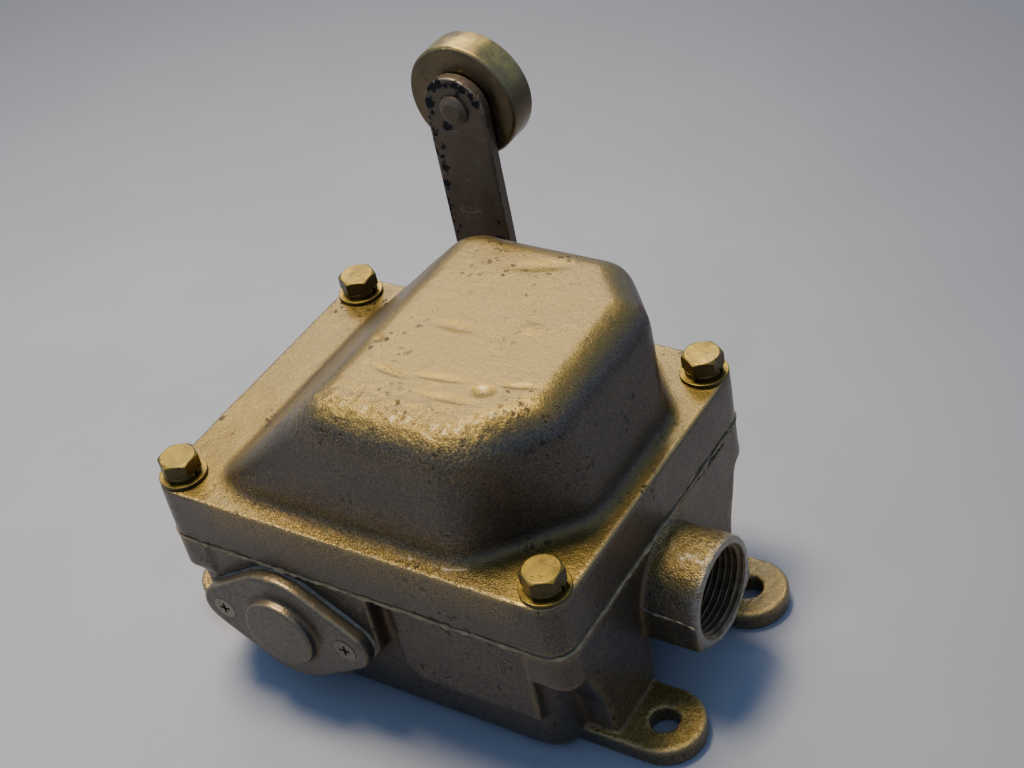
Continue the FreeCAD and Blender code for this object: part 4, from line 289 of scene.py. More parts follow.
champagneLook = {
    # paint: the lit tone of faces that look up, painted light from above
    "paint": (0.205, 0.138, 0.022, 1),
    "thin": (0.168, 0.112, 0.021, 1),  # here and there
    "side": (0.06, 0.054, 0.05, 1),  # painted shade: the darker, greyer tone of upright faces
    "worn": (0.5, 0.34, 0.11, 1),
    "pool": (0.2, 0.105, 0.02, 1),  # gathered in hollows
    "stain": (0.06, 0.032, 0.014, 1),
    # the dark tone of the hollow patches and of the pits
    "darkMark": (0.05, 0.034, 0.018, 1),
    "bare": (0.36, 0.34, 0.31, 1),
    "rough": (0.36, 0.47),
    "wornRough": 0.28,
    "dullRough": 0.65,
    "metal": 0.82,
    "coat": 0.28,
    "wear": 0.55,
    "bump": 0.4 * mm,
}


def champagnePaint(name, look, grain=1.0, pits=1.0, flow=1.0):
    material, tree, shader = startMaterial(name, Coat_Roughness=0.22)
    link = tree.links.new
    ridge = attribute(tree, "ridge")
    hollow = attribute(tree, "hollow")
    stain = attribute(tree, "stain")
    coarseAndLit = attribute(tree, "coarseAndLit")
    grained = sums(tree, "MULTIPLY_ADD", coarseAndLit, 3.2, grain)
    cast = place(tree, castGrain, {"Grain": grained, "Pits": pits, "Flow": flow})
    # painted light and shade: faces that look up, and the coarse lit places, take the lit paint tone; upright
    # faces take the painted shade tone
    litFromAbove = sums(tree, "MAXIMUM", facingUp(tree, 0.4, 0.92), sums(tree, "MULTIPLY", coarseAndLit, 0.6))
    rubbed = {"Ridge": ridge, "Amount": look["wear"], "Start": 0.4, "Size": 260.0}
    worn = place(tree, edgeWear, rubbed)["Mask"]
    # edge wear, weaker on upright faces
    worn = sums(tree, "MULTIPLY", worn, sums(tree, "MULTIPLY_ADD", litFromAbove, 0.75, 0.25))
    pooled = ramp(tree, hollow, 0.15, 0.9, 0.0, 0.5)
    # darker and duller in hollows and in noisy patches
    patchDark = place(tree, darkPatches, {"Hollow": hollow, "Amount": 0.3, "Size": 150.0})["Mask"]
    coords = put(tree, "TexCoord").outputs["Object"]
    flecks = sums(tree, "MULTIPLY", speckle(tree, coords, 430.0, 6.0, 0.75, 0.6), 0.9)
    stained = ramp(tree, sums(tree, "MULTIPLY_ADD", stain, 0.5, flecks), 0.76, 0.9)
    stained = sums(tree, "MULTIPLY", stained, ramp(tree, stain, 0.05, 0.3))
    tone = blendColour(tree, ramp(tree, cast["Tone"], 0.35, 0.65), look["thin"], look["paint"])
    # painted shade on upright faces, painted light on those that look up
    tone = blendColour(tree, litFromAbove, look["side"], tone)
    # grain flecks in the worn tone; the coarse lit places get far more, which is painted light
    flecksAndLight = sums(tree, "MULTIPLY_ADD", coarseAndLit, 0.65, 0.25)
    grainsAndLight = sums(tree, "MULTIPLY", ramp(tree, cast["Fine"], 0.35, 0.7), flecksAndLight)
    tone = blendColour(tree, grainsAndLight, tone, look["worn"])
    tone = blendColour(tree, worn, tone, look["worn"])
    tone = blendColour(tree, pooled, tone, look["pool"])
    tone = blendColour(tree, patchDark, tone, look["darkMark"])
    tone = blendColour(tree, stained, tone, look["stain"])
    tone = blendColour(tree, attribute(tree, "chip"), tone, look["bare"])
    tone = blendColour(tree, sums(tree, "MULTIPLY", cast["PitMask"], 0.85), tone, look["darkMark"])
    link(tone, shader.inputs["Base Color"])
    rough = ramp(tree, cast["Tone"], 0.3, 0.7, look["rough"][0], look["rough"][1])
    dull = sums(tree, "MAXIMUM", patchDark, stained)
    rough = blendValue(tree, worn, rough, look["wornRough"])
    rough = blendValue(tree, dull, rough, look["dullRough"])
    link(rough, shader.inputs["Roughness"])
    metal = sums(tree, "SUBTRACT", look["metal"], sums(tree, "MULTIPLY", dull, 0.4))
    link(metal, shader.inputs["Metallic"])
    spoiled = sums(tree, "MAXIMUM", cast["PitMask"], dull)
    link(ramp(tree, spoiled, 0.0, 1.0, look["coat"], 0.0), shader.inputs["Coat Weight"])
    bumpInto(tree, shader, cast["Height"], look["bump"])
    return material


tarnish = (0.03, 0.022, 0.012, 1)  # dark spots on plated metal


def brighter(colour, times):
    return tuple(min(1.0, part * times) for part in colour[:3]) + (1,)


# side scales the painted shade on upright faces
def platedMetal(name, colour, second, rough, side=0.5, marks=None):
    material, tree, shader = startMaterial(name, Metallic=1.0)
    coords = put(tree, "TexCoord").outputs["Object"]
    cloud = ramp(tree, speckle(tree, coords, 160.0, 4.0, 0.6, 0.5), 0.35, 0.65)
    spots = ramp(tree, speckle(tree, coords, 620.0, 3.0, 0.6), 0.62, 0.74)
    worn = place(tree, scratches, {"Size": 90.0, "Amount": 0.6})
    tone = blendColour(tree, cloud, colour, second)
    tone = blendColour(tree, worn["Mask"], tone, brighter(colour, 1.6))
    grey = sum(second[:3]) / 3
    uprightShade = tuple(side * (0.7 * part + 0.3 * grey) for part in second[:3]) + (1,)  # painted shade: upright faces take a darker, greyer tone, scaled by side
    tone = blendColour(tree, facingUp(tree, 0.1, 0.8), uprightShade, tone)
    tone = blendColour(tree, sums(tree, "MULTIPLY", spots, 0.7), tone, tarnish)
    tree.links.new(tone, shader.inputs["Base Color"])
    gloss = ramp(tree, speckle(tree, coords, 90.0, 5.0, 0.7), 0.3, 0.7, rough, rough + 0.25)
    tree.links.new(gloss, shader.inputs["Roughness"])
    height = sums(tree, "MULTIPLY_ADD", speckle(tree, coords, 900.0, 3.0), 0.4, worn["Height"])
    if marks:
        rings = place(tree, turningMarks, marks)
        height = sums(tree, "MULTIPLY_ADD", rings["Height"], 0.8, height)
    bumpInto(tree, shader, height, 0.05 * mm)
    return material


leverColours = {
    "paint": (0.115, 0.086, 0.055, 1),
    "second": (0.155, 0.117, 0.075, 1),
    "scratch": (0.4, 0.34, 0.26, 1),
    "worn": (0.5, 0.42, 0.28, 1),
    "bare": (0.008, 0.007, 0.007, 1),  # nearly black where the paint is gone
}


def leverPaint(name, look):
    material, tree, shader = startMaterial(name, Specular_IOR_Level=0.2)
    coords = put(tree, "TexCoord").outputs["Object"]
    chips = attribute(tree, "chip")
    ridge = attribute(tree, "ridge")
    worn = place(tree, edgeWear, {"Ridge": ridge, "Amount": 0.9, "Start": 0.35, "Size": 420.0})["Mask"]
    marks = place(tree, scratches, {"Size": 45.0, "Amount": 0.5})
    cloud = ramp(tree, speckle(tree, coords, 55.0, 5.0, 0.65, 0.4), 0.35, 0.65)
    tone = blendColour(tree, cloud, look["paint"], look["second"])
    tone = blendColour(tree, marks["Mask"], tone, look["scratch"])
    tone = blendColour(tree, worn, tone, look["worn"])
    flecks = sums(tree, "MULTIPLY", speckle(tree, coords, 300.0, 6.0, 0.75, 0.5), 1.1)
    black = ramp(tree, sums(tree, "MULTIPLY_ADD", chips, 0.6, flecks), 0.84, 0.9)
    tone = blendColour(tree, black, tone, look["bare"])
    tree.links.new(tone, shader.inputs["Base Color"])
    metal = sums(tree, "MULTIPLY", sums(tree, "SUBTRACT", 1.0, black), 0.65)
    tree.links.new(metal, shader.inputs["Metallic"])
    rough = blendValue(tree, black, ramp(tree, cloud, 0, 1, 0.4, 0.5), 0.6)
    tree.links.new(rough, shader.inputs["Roughness"])
    grain = sums(tree, "MULTIPLY_ADD", speckle(tree, coords, 700.0, 3.0), 0.3, marks["Height"])
    bumpInto(tree, shader, sums(tree, "MULTIPLY_ADD", black, -0.8, grain), 0.12 * mm)
    return material


# Rubber, plastic and the inner metals; size is in spots to the metre, bump in millimetres

def plainStuff(name, first, second, rough, metallic=0.0, size=120.0, bump=0.03):
    material, tree, shader = startMaterial(name, Metallic=metallic)
    coords = put(tree, "TexCoord").outputs["Object"]
    cloud = speckle(tree, coords, size, 5.0, 0.65, 0.3)
    tone = blendColour(tree, ramp(tree, cloud, 0.35, 0.65), first, second)
    marks = place(tree, scratches, {"Size": 80.0, "Amount": 0.35})
    tone = blendColour(tree, marks["Mask"], tone, brighter(second, 1.7))
    tree.links.new(tone, shader.inputs["Base Color"])
    tree.links.new(ramp(tree, cloud, 0.3, 0.7, rough, rough + 0.15), shader.inputs["Roughness"])
    height = sums(tree, "MULTIPLY_ADD", speckle(tree, coords, size * 9, 3.0), 0.7, marks["Height"])
    bumpInto(tree, shader, height, bump * mm)
    return material


rollerMarks = {"X": -34 * mm, "Z": 156 * mm, "Pitch": 0.5 * mm}  # the axis, with the lever upright
shaftMarks = {"X": -34 * mm, "Z": 37 * mm, "Pitch": 0.4 * mm}
finishes = {
    "housing_paint": champagnePaint("champagnePaint", champagneLook),
    # the bearing covers: a lighter lit tone on faces that look up and a painted shade tone on upright faces,
    # painted light and shade like the housing's
    "bearing_cover_paint": champagnePaint("bearingCoverPaint", dict(
        champagneLook, paint=(0.3, 0.22, 0.11, 1), thin=(0.22, 0.17, 0.1, 1), side=(0.066, 0.066, 0.062, 1)),
        grain=0.8, pits=0.4, flow=0.0),
    "zinc_fasteners": platedMetal("yellowZinc", (0.32, 0.22, 0.042, 1), (0.23, 0.165, 0.045, 1), 0.28),
    "roller_zinc": platedMetal("rollerZinc", (0.46, 0.33, 0.1, 1), (0.3, 0.22, 0.085, 1), 0.26, 0.55,
                               rollerMarks),
    "plated_screws": platedMetal("greyZinc", (0.36, 0.33, 0.25, 1), (0.22, 0.19, 0.13, 1), 0.34, 1.1),
    "lever_paint": leverPaint("leverPaint", leverColours),
    "shaft_steel": platedMetal("turnedSteel", (0.5, 0.49, 0.47, 1), (0.4, 0.39, 0.38, 1), 0.25,
                               marks=shaftMarks),
    "spring_steel": plainStuff("springSteel", (0.2, 0.2, 0.21, 1), (0.32, 0.31, 0.3, 1), 0.3, 1.0),
    "bronze": plainStuff("bronze", (0.5, 0.3, 0.13, 1), (0.6, 0.38, 0.18, 1), 0.3, 1.0),
    "terminal_brass": plainStuff("brass", (0.62, 0.47, 0.2, 1), (0.7, 0.55, 0.26, 1), 0.25, 1.0),
    "contact_silver": plainStuff("contactSilver", (0.75, 0.74, 0.71, 1), (0.6, 0.59, 0.56, 1), 0.25, 1.0),
    "gasket": plainStuff("gasketSheet", (0.2, 0.16, 0.1, 1), (0.34, 0.28, 0.19, 1), 0.7, 0.0, 300.0, 0.1),
    "seal_rubber": plainStuff("sealRubber", (0.018, 0.018, 0.019, 1), (0.03, 0.03, 0.03, 1), 0.5,
                              size=200.0, bump=0.05),
    "cam_plastic": plainStuff("camPlastic", (0.5, 0.47, 0.4, 1), (0.56, 0.53, 0.46, 1), 0.4, 0.0, 90.0, 0.02),
    "block_plastic": plainStuff("blockPlastic", (0.035, 0.022, 0.018, 1), (0.06, 0.036, 0.028, 1), 0.35,
                                size=90.0),
}
for part in frame["record"]["subparts"]:
    node = cadNodes[part["node"]]
    node.data.materials.clear()
    node.data.materials.append(finishes[part["material_slot"]])
print("finishes made:", len(finishes))


# Mesh tools

weldGap = 0.001 * mm


def settle(obj):  # the modifiers' result becomes the mesh
    graph = bpy.context.evaluated_depsgraph_get()
    made = bpy.data.meshes.new_from_object(obj.evaluated_get(graph))
    old = obj.data
    obj.modifiers.clear()
    obj.data = made
    bpy.data.meshes.remove(old)


def weld(mesh):
    cleaned = bmesh.new()
    cleaned.from_mesh(mesh)
    bmesh.ops.remove_doubles(cleaned, verts=cleaned.verts, dist=weldGap)
    cleaned.to_mesh(mesh)
    cleaned.free()
    for name in ("custom_normal", "UVMap"):
        if name in mesh.attributes:
            mesh.attributes.remove(mesh.attributes[name])


def column(what, field, width):  # one field of all points or edges, a row each
    values = np.zeros(len(what) * width, np.float32 if width == 3 else np.int32)
    what.foreach_get(field, values)
    return values.reshape(-1, width)


def average(values, edges, count, passes, share):  # each point moves towards its neighbours' mean
    first, second = edges[:, 0], edges[:, 1]
    degree = np.maximum(np.bincount(edges.ravel(), minlength=count), 1)[:, None]
    for _ in range(passes):
        total = np.stack([
            np.bincount(first, weights=values[second, axis], minlength=count)
            + np.bincount(second, weights=values[first, axis], minlength=count)
            for axis in range(values.shape[1])], axis=1)
        values = values + share * (total / degree - values)
    return values


def setAttribute(mesh, name, values):
    layer = mesh.attributes.get(name) or mesh.attributes.new(name, "FLOAT", "POINT")
    layer.data.foreach_set("value", values.astype(np.float32))


def nearness(points, marks):  # 0 to 1, near the listed places: (x, y, z, reach, strength) in millimetres
    total = np.zeros(len(points))
    for x, y, z, reach, strength in marks:
        gap = ((points / mm - np.array((x, y, z))) ** 2).sum(1) / reach ** 2
        total = np.maximum(total, strength * np.exp(-gap))
    return total


def movePoints(mesh, points):
    mesh.vertices.foreach_set("co", points.astype(np.float32).ravel())
    mesh.update()


def voxelCopy(name, node, size):  # the CAD piece's form in small even faces
    mesh = cadNodes[node].data.copy()
    weld(mesh)
    skin = intoScene(bpy.data.objects.new(name, mesh))
    remesh = skin.modifiers.new("skin", "REMESH")
    remesh.mode, remesh.voxel_size = "VOXEL", size
    settle(skin)
    return skin


def crinkle(spot, first, second, share):  # noise of two sizes, in millimetres like the spot
    return noise.noise(spot / first) + share * noise.noise(spot / second)


crinkleLook = {  # the rough skin in the places named coarseAndLit; the paint there is also lighter, which is painted light
    "height": 0.27 * mm,
    "sizes": (2.4, 1.4),
    "share": 0.6,
    "least": 0.05,  # below this nearness there is none
}


def castLift(points, normals, look):  # how far each point of a cast skin moves out
    lift = np.zeros(len(points))
    for size, height in look["rough"]:
        scale = 1 / size
        lift += height * np.array([noise.noise(Vector(p) * scale) for p in points])
    rugged = nearness(points, look.get("coarseAndLit", ()))
    for index in np.flatnonzero(rugged > crinkleLook["least"]):
        fine = crinkle(Vector(points[index]) / mm, *crinkleLook["sizes"], crinkleLook["share"])
        lift[index] += crinkleLook["height"] * rugged[index] * fine
    if "relief" in look:
        lift += look["relief"](points, normals)
    if "calm" in look:
        lift *= look["calm"](points)  # machined faces stay flat
    return lift


def castSkin(name, node, body, slot, look):  # the rough cast form that stands in for a CAD piece
    skin = voxelCopy(name, node, look["voxel"])
    mesh = skin.data
    count = len(mesh.vertices)
    edges = column(mesh.edges, "vertices", 2)
    points = average(column(mesh.vertices, "co", 3).astype(float), edges, count, look["soften"], 0.5)
    if "shape" in look:
        points = look["shape"](points)
    movePoints(mesh, points)
    normals = column(mesh.vertices, "normal", 3).astype(float)
    wide = average(points, edges, count, look["ridgePasses"], 0.6)
    bend = ((points - wide) * normals).sum(1) / look["ridgeHeight"]
    bend = average(bend[:, None], edges, count, 3, 0.6)[:, 0]
    setAttribute(mesh, "ridge", np.clip(bend, 0, 1))
    setAttribute(mesh, "hollow", np.clip(-bend, 0, 1))
    for mark in ("stain", "coarseAndLit", "chip"):
        setAttribute(mesh, mark, nearness(points, look.get(mark, ())))
    movePoints(mesh, points + normals * castLift(points, normals, look)[:, None])
    mesh.shade_smooth()
    mesh.materials.clear()
    mesh.materials.append(finishes[slot])
    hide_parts(node)
    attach(skin, body)
    print(name, count, "points")


# The domed cover; numbers without mm are millimetres

domeLook = {
    "dents": (  # shallow marks in the top: x, y, half length, half width, turn, depth
        (27.5, 38.0, 10.5, 2.6, 20, 0.5),
        (16.5, -0.4, 8.0, 2.2, 2, 0.45),
        (41.5, 6.8, 3.4, 2.6, 30, -0.35),
        (43.1, -25.8, 3.6, 2.4, 10, 0.8),
        (26.0, -25.0, 9.0, 1.2, 8, 0.5),
        (8.0, -27.5, 7.0, 1.3, -6, 0.5),
        (54.0, -19.5, 7.0, 1.1, 15, 0.45),
        (33.0, -33.0, 11.0, 1.4, 4, 0.4),
        (-5.5, -14.3, 2.2, 1.6, 0, 0.5),
    ),
    "dentsAbove": 120,
    "ridge": -44,  # the front edge of the top, in y
    "ridgeReach": 9,
    "ridgeAbove": 112,
    "lapSizes": (9, 4.5, 8),
    "lapHeight": 0.14 * mm,
    "crustSizes": (3.4, 1.8),
    "crustShare": 0.7,
    "crustHeight": 0.24 * mm,
}


def domeRelief(points, normals):
    look, places, total = domeLook, points / mm, np.zeros(len(points))
    onTop = np.clip((normals[:, 2] - 0.5) / 0.3, 0, 1)
    for x, y, halfLength, halfWidth, turn, depth in look["dents"]:
        angle = math.radians(turn)
        across, along = places[:, 0] - x, places[:, 1] - y
        u = (across * math.cos(angle) + along * math.sin(angle)) / halfLength
        v = (along * math.cos(angle) - across * math.sin(angle)) / halfWidth
        bowl = np.exp(-(u ** 2 + v ** 2) ** 1.5)
        total -= depth * mm * bowl * (places[:, 2] > look["dentsAbove"])
    nearRidge = np.exp(-((places[:, 1] - look["ridge"]) / look["ridgeReach"]) ** 2)
    nearRidge = nearRidge * (places[:, 2] > look["ridgeAbove"])
    a, b, c = look["lapSizes"]
    steps = np.array([noise.noise(Vector((p[0] / a, p[1] / b, p[2] / c))) for p in places])
    laps = np.clip(np.abs(steps) * -8 + 0.8, -1, 0.6)  # where the metal ran cold
    total += look["lapHeight"] * nearRidge * laps
    crust = np.array([crinkle(Vector(p), *look["crustSizes"], look["crustShare"]) for p in places])
    total += look["crustHeight"] * nearRidge * np.clip(crust * 1.6, -0.9, 0.7)
    return total * onTop


def jointStain(height):  # the dark length of the joint on the cable side
    return tuple((83, y, height, 1.7, 1.5) for y in range(29, 48, 2))


coverLook = {
    "voxel": 0.8 * mm,
    "soften": 5,
    "ridgePasses": 24,
    "ridgeHeight": 0.6 * mm,
    "rough": ((14 * mm, 0.2 * mm), (4 * mm, 0.06 * mm)),
    "relief": domeRelief,
    "stain": (
        (66, 33, 124, 8, 0.9), (63, 44, 124, 6, 0.7), (-8, -52, 121, 8, 0.6), (-25, -56, 92, 9, 0.5),
        (-49, -34, 92, 7, 0.55), (43, -26, 132, 4, 0.75), (-81, -26, 85, 5, 0.8), (-72, -31, 85, 2.5, 0.8),
        (-60, -62, 85, 3, 0.8), (81, 5, 85, 3, 0.8)) + jointStain(63.4),
    # the flange's front strip and the front edge of the top: rough skin, and a lighter paint tone that is
    # painted light
    "coarseAndLit": (tuple((x, -61.5, 85, 9, 0.9) for x in range(-50, 61, 9))
               + tuple((x, -46, 127, 9, 0.7) for x in range(-16, 56, 9))),
}
castSkin("cover_skin", "cover_casting", "housing", "housing_paint", coverLook)


# The base, with the pipe thread in its cable boss

boreLook = {
    "height": 41 * mm,
    "start": 66 * mm,
    "mouth": 104 * mm,
    "minor": 15.15 * mm,
    "major": 16.6 * mm,
    "outer": 17.0 * mm,
    "rootInset": 0.05 * mm,  # the thread's roots end this far inside the outer radius
    "skinInset": 0.1 * mm,  # and the skin this far
    "before": 0.6 * mm,  # the skin is widened from this far behind the thread
    "core": 8 * mm,  # and outside this radius
    "pitch": 2.309 * mm,
    "crest": 0.12,  # shares of a half turn
    "flank": 0.76,
    "around": 96,
    "perTurn": 14,
    "chamfer": 1.6 * mm,
}


def openBore(points):  # the skin's bore is widened, for the thread to stand in
    look = boreLook
    reach = np.hypot(points[:, 1], points[:, 2] - look["height"])
    wide = look["outer"] - look["skinInset"]
    inside = (points[:, 0] > look["start"] - look["before"]) & (reach < wide) & (reach > look["core"])
    scale = np.where(inside, wide / np.maximum(reach, 1e-6), 1.0)
    made = points.copy()
    made[:, 1] *= scale
    made[:, 2] = look["height"] + (points[:, 2] - look["height"]) * scale
    return made


flatLook = {  # machined faces: x of the mouth, z of the ground and of the joint, in millimetres
    "mouth": 103.2,
    "ground": 0.6,
    "joint": 61.6,
    "fade": 0.6,  # over this much the roughness comes back
    "groundFade": 1.5,
}


def calmBase(points):
    look, x, z = flatLook, points[:, 0] / mm, points[:, 2] / mm
    mouth = np.clip((look["mouth"] - x) / look["fade"], 0, 1)
    ground = np.clip((z - look["ground"]) / look["groundFade"], 0, 1)
    joint = np.clip((look["joint"] - z) / look["fade"], 0, 1)
    return mouth * ground * joint


def mouthChips(radius, number):  # bare metal round the mouth of the boss
    return tuple((104.5, radius * math.cos(turn / 5), 41 + radius * math.sin(turn / 5), 2.4, 0.75)
                 for turn in range(number))


baseLook = {
    "voxel": 0.8 * mm,
    "soften": 4,
    "ridgePasses": 24,
    "ridgeHeight": 0.6 * mm,
    "shape": openBore,
    "calm": calmBase,
    "rough": ((12 * mm, 0.22 * mm), (4 * mm, 0.08 * mm)),
    "stain": jointStain(61.6),
    "chip": mouthChips(17.6, 32),
    # the cable boss and the feet: rough skin, and a lighter paint tone that is painted light
    "coarseAndLit": (((78, 0, 60, 12, 1.0), (86, 0, 60, 14, 1.0), (97, 0, 60, 14, 1.0))
               + tuple((x, y, 8, 16, 0.8) for x in (94.5, -94.5) for y in (-33, 33))),
}
castSkin("base_skin", "base_casting", "housing", "housing_paint", baseLook)


def meshPiece(name, points, faces, body, finish):
    mesh = bpy.data.meshes.new(name)
    mesh.from_pydata([tuple(p) for p in points], [], faces)
    mesh.update()
    mesh.shade_smooth()
    mesh.materials.append(finish)
    piece = intoScene(bpy.data.objects.new(name, mesh))
    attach(piece, body)
    print(name, len(points), "points")


def ringFaces(rings, around, closed):  # quads between rings of points, each ring closed on itself
    faces = []
    for ring in range(rings if closed else rings - 1):
        first, second = ring * around, (ring + 1) % rings * around
        for step in range(around):
            after = (step + 1) % around
            faces.append((first + step, first + after, second + after, second + step))
    return faces


def borePoint(x, reach, angle):  # a point round the axis of the bore
    return (x, reach * math.cos(angle), boreLook["height"] + reach * math.sin(angle))


def makeThread(look):
    rings = []
    turns = (look["mouth"] - look["start"]) / look["pitch"]
    count = int(turns * look["perTurn"])
    angles = [2 * math.pi * step / look["around"] for step in range(look["around"])]
    for ring in range(count + 1):
        x = look["start"] + (look["mouth"] - look["start"]) * ring / count
        flare = max(0.0, x - (look["mouth"] - look["chamfer"]))
        row = []
        for step, angle in enumerate(angles):
            phase = ((x - look["start"]) / look["pitch"] - step / look["around"]) % 1.0
            rise = min(1.0, max(0.0, (abs(2 * phase - 1) - look["crest"]) / look["flank"]))
            reach = look["minor"] + (look["major"] - look["minor"]) * rise
            reach = min(look["outer"] - look["rootInset"], max(reach, look["minor"] + flare))
            row.append(borePoint(x, reach, angle))
        rings.append(row)
    for x in (look["mouth"], look["start"]):
        rings.append([borePoint(x, look["outer"], angle) for angle in angles])
    points = [p for row in rings for p in row]
    meshPiece("cable_thread", points, ringFaces(len(rings), look["around"], True), "housing",
              threadFinish)


threadFinish = plainStuff("cutThread", (0.2, 0.145, 0.075, 1), (0.12, 0.08, 0.035, 1), 0.4, 0.7, 260.0, 0.04)
makeThread(boreLook)


# Uneven lines: the gasket's edge and the flash line on the boss

beadWaves = {  # how long the waves of an uneven line are
    "size": 2.2 * mm,
    "side": 5 * mm,
    "up": 9 * mm,
}


def bead(name, path, look, body, finish, closed):  # an uneven raised line along a path
    draw = random.Random(look["seed"])
    shift = Vector((draw.random() * 40, draw.random() * 40, 0))
    radius, around, wobble = look["thickness"], look["around"], look["wobble"]
    count, rows = len(path), []
    for index, spot in enumerate(path):
        before = path[index - 1] if closed or index else path[index]
        after = path[(index + 1) % count] if closed or index < count - 1 else path[index]
        run = (after - before).normalized()
        side = run.orthogonal() if abs(run.z) > 0.9 else run.cross(Vector((0, 0, 1)))
        side.normalize()
        up = side.cross(run).normalized()
        size = radius * (1 + wobble * 2 * noise.noise(spot / beadWaves["size"] + shift))
        size = max(size, radius * 0.15)
        centre = spot + side * radius * 0.4 * noise.noise(spot / beadWaves["side"] - shift)
        centre += up * radius * 0.8 * noise.noise(spot / beadWaves["up"] + shift * 2)
        rows += [centre + (side * math.cos(a) + up * math.sin(a)) * size
                 for a in (2 * math.pi * step / around for step in range(around))]
    faces = ringFaces(count, around, closed)
    if not closed:
        faces += [tuple(range(around))[::-1], tuple(range((count - 1) * around, count * around))]
    meshPiece(name, rows, faces, body, finish)


def roundedLoop(halfLength, halfWidth, corner, height, step):
    path, cornerParts = [], 8
    for quarter, (sx, sy) in enumerate(((1, 1), (-1, 1), (-1, -1), (1, -1))):
        centre = Vector((sx * (halfLength - corner), sy * (halfWidth - corner), height))
        for part in range(cornerParts + 1):
            angle = math.pi / 2 * (quarter + part / cornerParts)
            path.append(centre + Vector((math.cos(angle), math.sin(angle), 0)) * corner)
    filled = []
    for index, spot in enumerate(path):
        after = path[(index + 1) % len(path)]
        parts = max(1, round((after - spot).length / step))
        filled += [spot.lerp(after, part / parts) for part in range(parts)]
    return filled


jointLook = {  # the gasket's uneven edge between cover and box
    "inset": 0.4 * mm,  # the gasket ends this far inside the flange
    "setback": 0.02 * mm,  # and the line's middle this far
    "corner": 9 * mm,
    "height": 62.55 * mm,
    "step": 0.9 * mm,
    "thickness": 0.55 * mm,
    "around": 8,
    "wobble": 0.6,
    "seed": 3,
}


def jointPath(look):
    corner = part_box("cover_gasket")[1]
    return roundedLoop(corner.x + look["inset"] - look["setback"], corner.y + look["inset"] - look["setback"],
                       look["corner"], look["height"], look["step"])


jointFinish = plainStuff("gasketEdge", (0.36, 0.26, 0.12, 1), (0.24, 0.17, 0.075, 1), 0.75, 0.0, 240.0, 0.05)
bead("joint_bead", jointPath(jointLook), jointLook, "housing", jointFinish, True)

seamLook = {  # the flash line along the front of the cable boss
    "bossRadius": 19.7 * mm,
    "from": (70.5 * mm, 46.7 * mm),  # x, z
    "to": (103.6 * mm, 41.2 * mm),
    "wave": 0.5 * mm,
    "points": 46,
    "thickness": 0.4 * mm,
    "around": 8,
    "wobble": 0.8,
    "seed": 5,
}


def seamPath(look):
    path = []
    for index in range(look["points"]):
        share = index / (look["points"] - 1)
        x, z = [first + (last - first) * share for first, last in zip(look["from"], look["to"])]
        z += look["wave"] * math.sin(share * 9)
        path.append(Vector((x, -math.sqrt(look["bossRadius"] ** 2 - (z - boreLook["height"]) ** 2), z)))
    return path


seamFinish = plainStuff("flashLine", (0.16, 0.13, 0.085, 1), (0.24, 0.2, 0.13, 1), 0.5, 0.4, 300.0, 0.05)
bead("boss_flash_line", seamPath(seamLook), seamLook, "housing", seamFinish, False)


# Bearing covers, lever and bolts

bearingLook = {
    "voxel": 0.6 * mm,
    "soften": 3,
    "ridgePasses": 14,
    "ridgeHeight": 0.4 * mm,
    "rough": ((9 * mm, 0.12 * mm), (3 * mm, 0.05 * mm)),
}
castSkin("front_bearing_skin", "front_bearing_cover", "housing", "bearing_cover_paint", bearingLook)
castSkin("rear_bearing_skin", "rear_bearing_cover", "housing", "bearing_cover_paint", bearingLook)


chipLook = {  # where the lever's paint has come off, in millimetres
    "face": 86,  # y of the lever's outer face
    "single": ((-34, 156, 8, 0.75), (-39, 148, 3.2, 0.7), (-25, 100, 3, 0.7), (-24.5, 108, 2.2, 0.6)),
    "edge": -46.5,  # x of the edge that has lost most
    "edgeFrom": 98,
    "edgeStep": 2.4,
    "edgeNumber": 26,
    "pin": (-34, 156),
    "pinNumber": 9,
    "seed": 8,
}


def leverChips(look):  # down one edge, round the top and about the pin
    draw = random.Random(look["seed"])
    marks = [(x, look["face"], z, reach, strength) for x, z, reach, strength in look["single"]]
    for step in range(look["edgeNumber"]):
        across = look["edge"] + draw.uniform(-0.5, 3.0)
        height = look["edgeFrom"] + step * look["edgeStep"]
        marks.append((across, look["face"], height, draw.uniform(1.4, 3.4), draw.uniform(0.45, 0.95)))
    for step in range(look["pinNumber"]):
        angle, reach = math.radians(20 + step * 19), draw.uniform(10, 13.5)
        across = look["pin"][0] + reach * math.cos(angle)
        height = look["pin"][1] + reach * math.sin(angle)
        marks.append((across, look["face"], height, draw.uniform(2, 4.4), draw.uniform(0.6, 0.95)))
    return tuple(marks)


leverLook = {
    "voxel": 0.5 * mm,
    "soften": 2,
    "ridgePasses": 8,
    "ridgeHeight": 0.35 * mm,
    "rough": ((8 * mm, 0.06 * mm), (2 * mm, 0.03 * mm)),
    "chip": leverChips(chipLook),
}
castSkin("lever_skin", "drive_lever", "lever", "lever_paint", leverLook)


edgeLook = {  # small rounds on turned and pressed pieces
    "angle": 28,  # degrees
    "segments": 2,
    "widths": {  # millimetres
        "cover_bolts": 0.25,
        "cover_flat_washers": 0.3,
        "cover_spring_washers": 0.2,
        "lever_nut": 0.3,
        "lever_roller": 0.3,
        "roller_pin": 0.3,
    },
}


def easeEdges(node, width):
    piece = cadNodes[node]
    piece.modifiers.new("weld", "WELD").merge_threshold = weldGap
    edges = piece.modifiers.new("edges", "BEVEL")
    edges.width, edges.segments, edges.limit_method = width, edgeLook["segments"], "ANGLE"
    edges.angle_limit = math.radians(edgeLook["angle"])
    edges.harden_normals = True


for node, width in edgeLook["widths"].items():
    easeEdges(node, width * mm)
print("edges rounded:", len(edgeLook["widths"]))


# Floor and lights

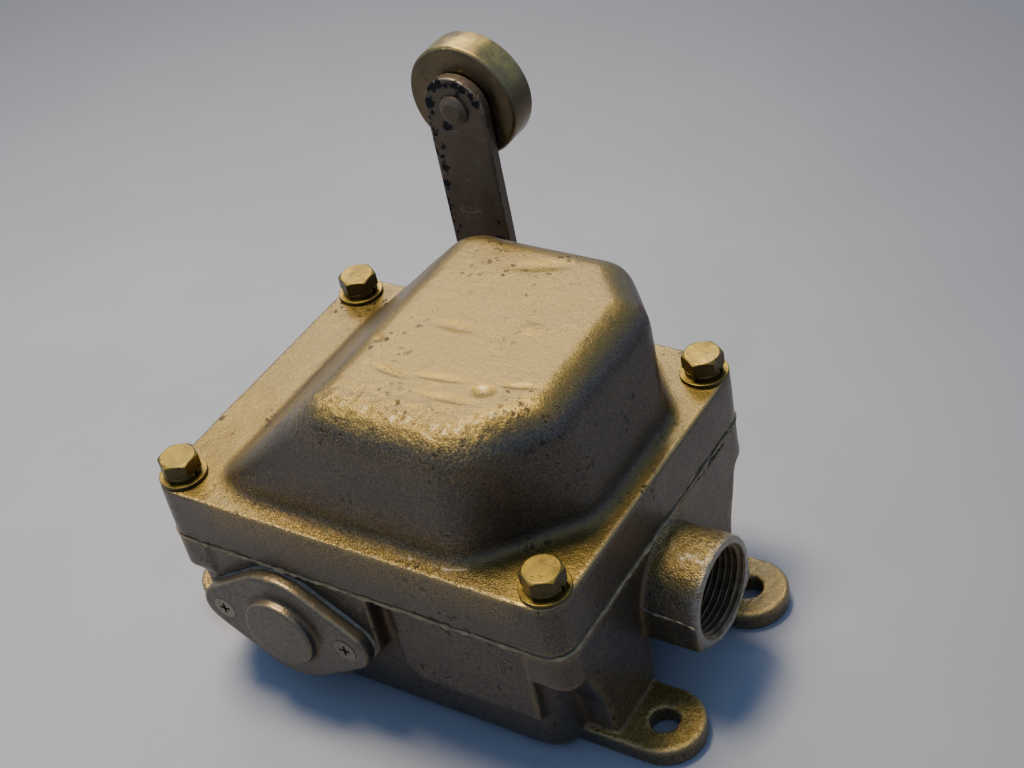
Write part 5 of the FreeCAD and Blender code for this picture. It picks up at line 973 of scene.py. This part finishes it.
stageLook = {
    "floorSize": 6,
    "floorDrop": 0.1 * mm,  # below the feet
    "floor": (0.33, 0.336, 0.345, 1),
    "floorSecond": (0.305, 0.311, 0.322, 1),
    "floorPaintedFalloff": (0.12, 0.124, 0.133, 1),
    # the middle of the painted pool of light on the floor
    "floorCentre": (-0.16, -0.1, 0),
    "floorReach": (0.12, 0.7),  # painted fall-off of light: the floor darkens between these distances
    "floorEdge": (0.55, 0.53, 0.49, 1),  # and is pale again further out
    "edgeReach": (0.8, 1.6),
    "world": (0.38, 0.56, 1.0, 1),
    "worldStrength": 0.7,
    "aim": (0, 0, 0.08),
    "lamps": {  # place, width, watts, colour
        "key": ((-0.4, 0.16, 1.6), 0.45, 33, (1.0, 0.86, 0.66)),
        "window": ((-0.85, 1.1, 1.25), 0.8, 12, (1.0, 0.9, 0.75)),
    },
}


def makeFloor(look):
    bpy.ops.mesh.primitive_plane_add(size=look["floorSize"], location=(0, 0, cadLow.z - look["floorDrop"]))
    floor = bpy.context.object
    floor.name = "floor"
    material, tree, shader = startMaterial("floorPaint")
    coords = put(tree, "TexCoord").outputs["Object"]
    cloud = ramp(tree, speckle(tree, coords, 9.0, 6.0, 0.6), 0.35, 0.65)
    away = put(tree, "VectorMath", {0: coords, 1: look["floorCentre"]}, operation="DISTANCE")
    reach = away.outputs["Value"]
    tone = blendColour(tree, cloud, look["floor"], look["floorSecond"])
    # painted fall-off of light: darker away from the object, then pale again further out
    tone = blendColour(tree, ramp(tree, reach, *look["floorReach"]), tone, look["floorPaintedFalloff"])
    tone = blendColour(tree, ramp(tree, reach, *look["edgeReach"]), tone, look["floorEdge"])
    tree.links.new(tone, shader.inputs["Base Color"])
    tree.links.new(ramp(tree, cloud, 0, 1, 0.5, 0.53), shader.inputs["Roughness"])
    bumpInto(tree, shader, speckle(tree, coords, 500.0, 3.0), 0.04 * mm)
    floor.data.materials.append(material)


def makeLights(look):
    world = bpy.data.worlds.new("world")
    bpy.context.scene.world = world
    world.use_nodes = True
    back = world.node_tree.nodes["Background"]
    back.inputs["Color"].default_value = look["world"]
    back.inputs["Strength"].default_value = look["worldStrength"]
    for name, (spot, width, watts, colour) in look["lamps"].items():
        data = bpy.data.lights.new(name, "AREA")
        data.shape, data.size = "SQUARE", width
        data.energy, data.color = watts, colour
        lamp = intoScene(bpy.data.objects.new(name, data))
        lamp.location = spot
        lamp.rotation_euler = (Vector(look["aim"]) - Vector(spot)).to_track_quat("-Z", "Y").to_euler()


makeFloor(stageLook)
makeLights(stageLook)
print("floor and lights made")
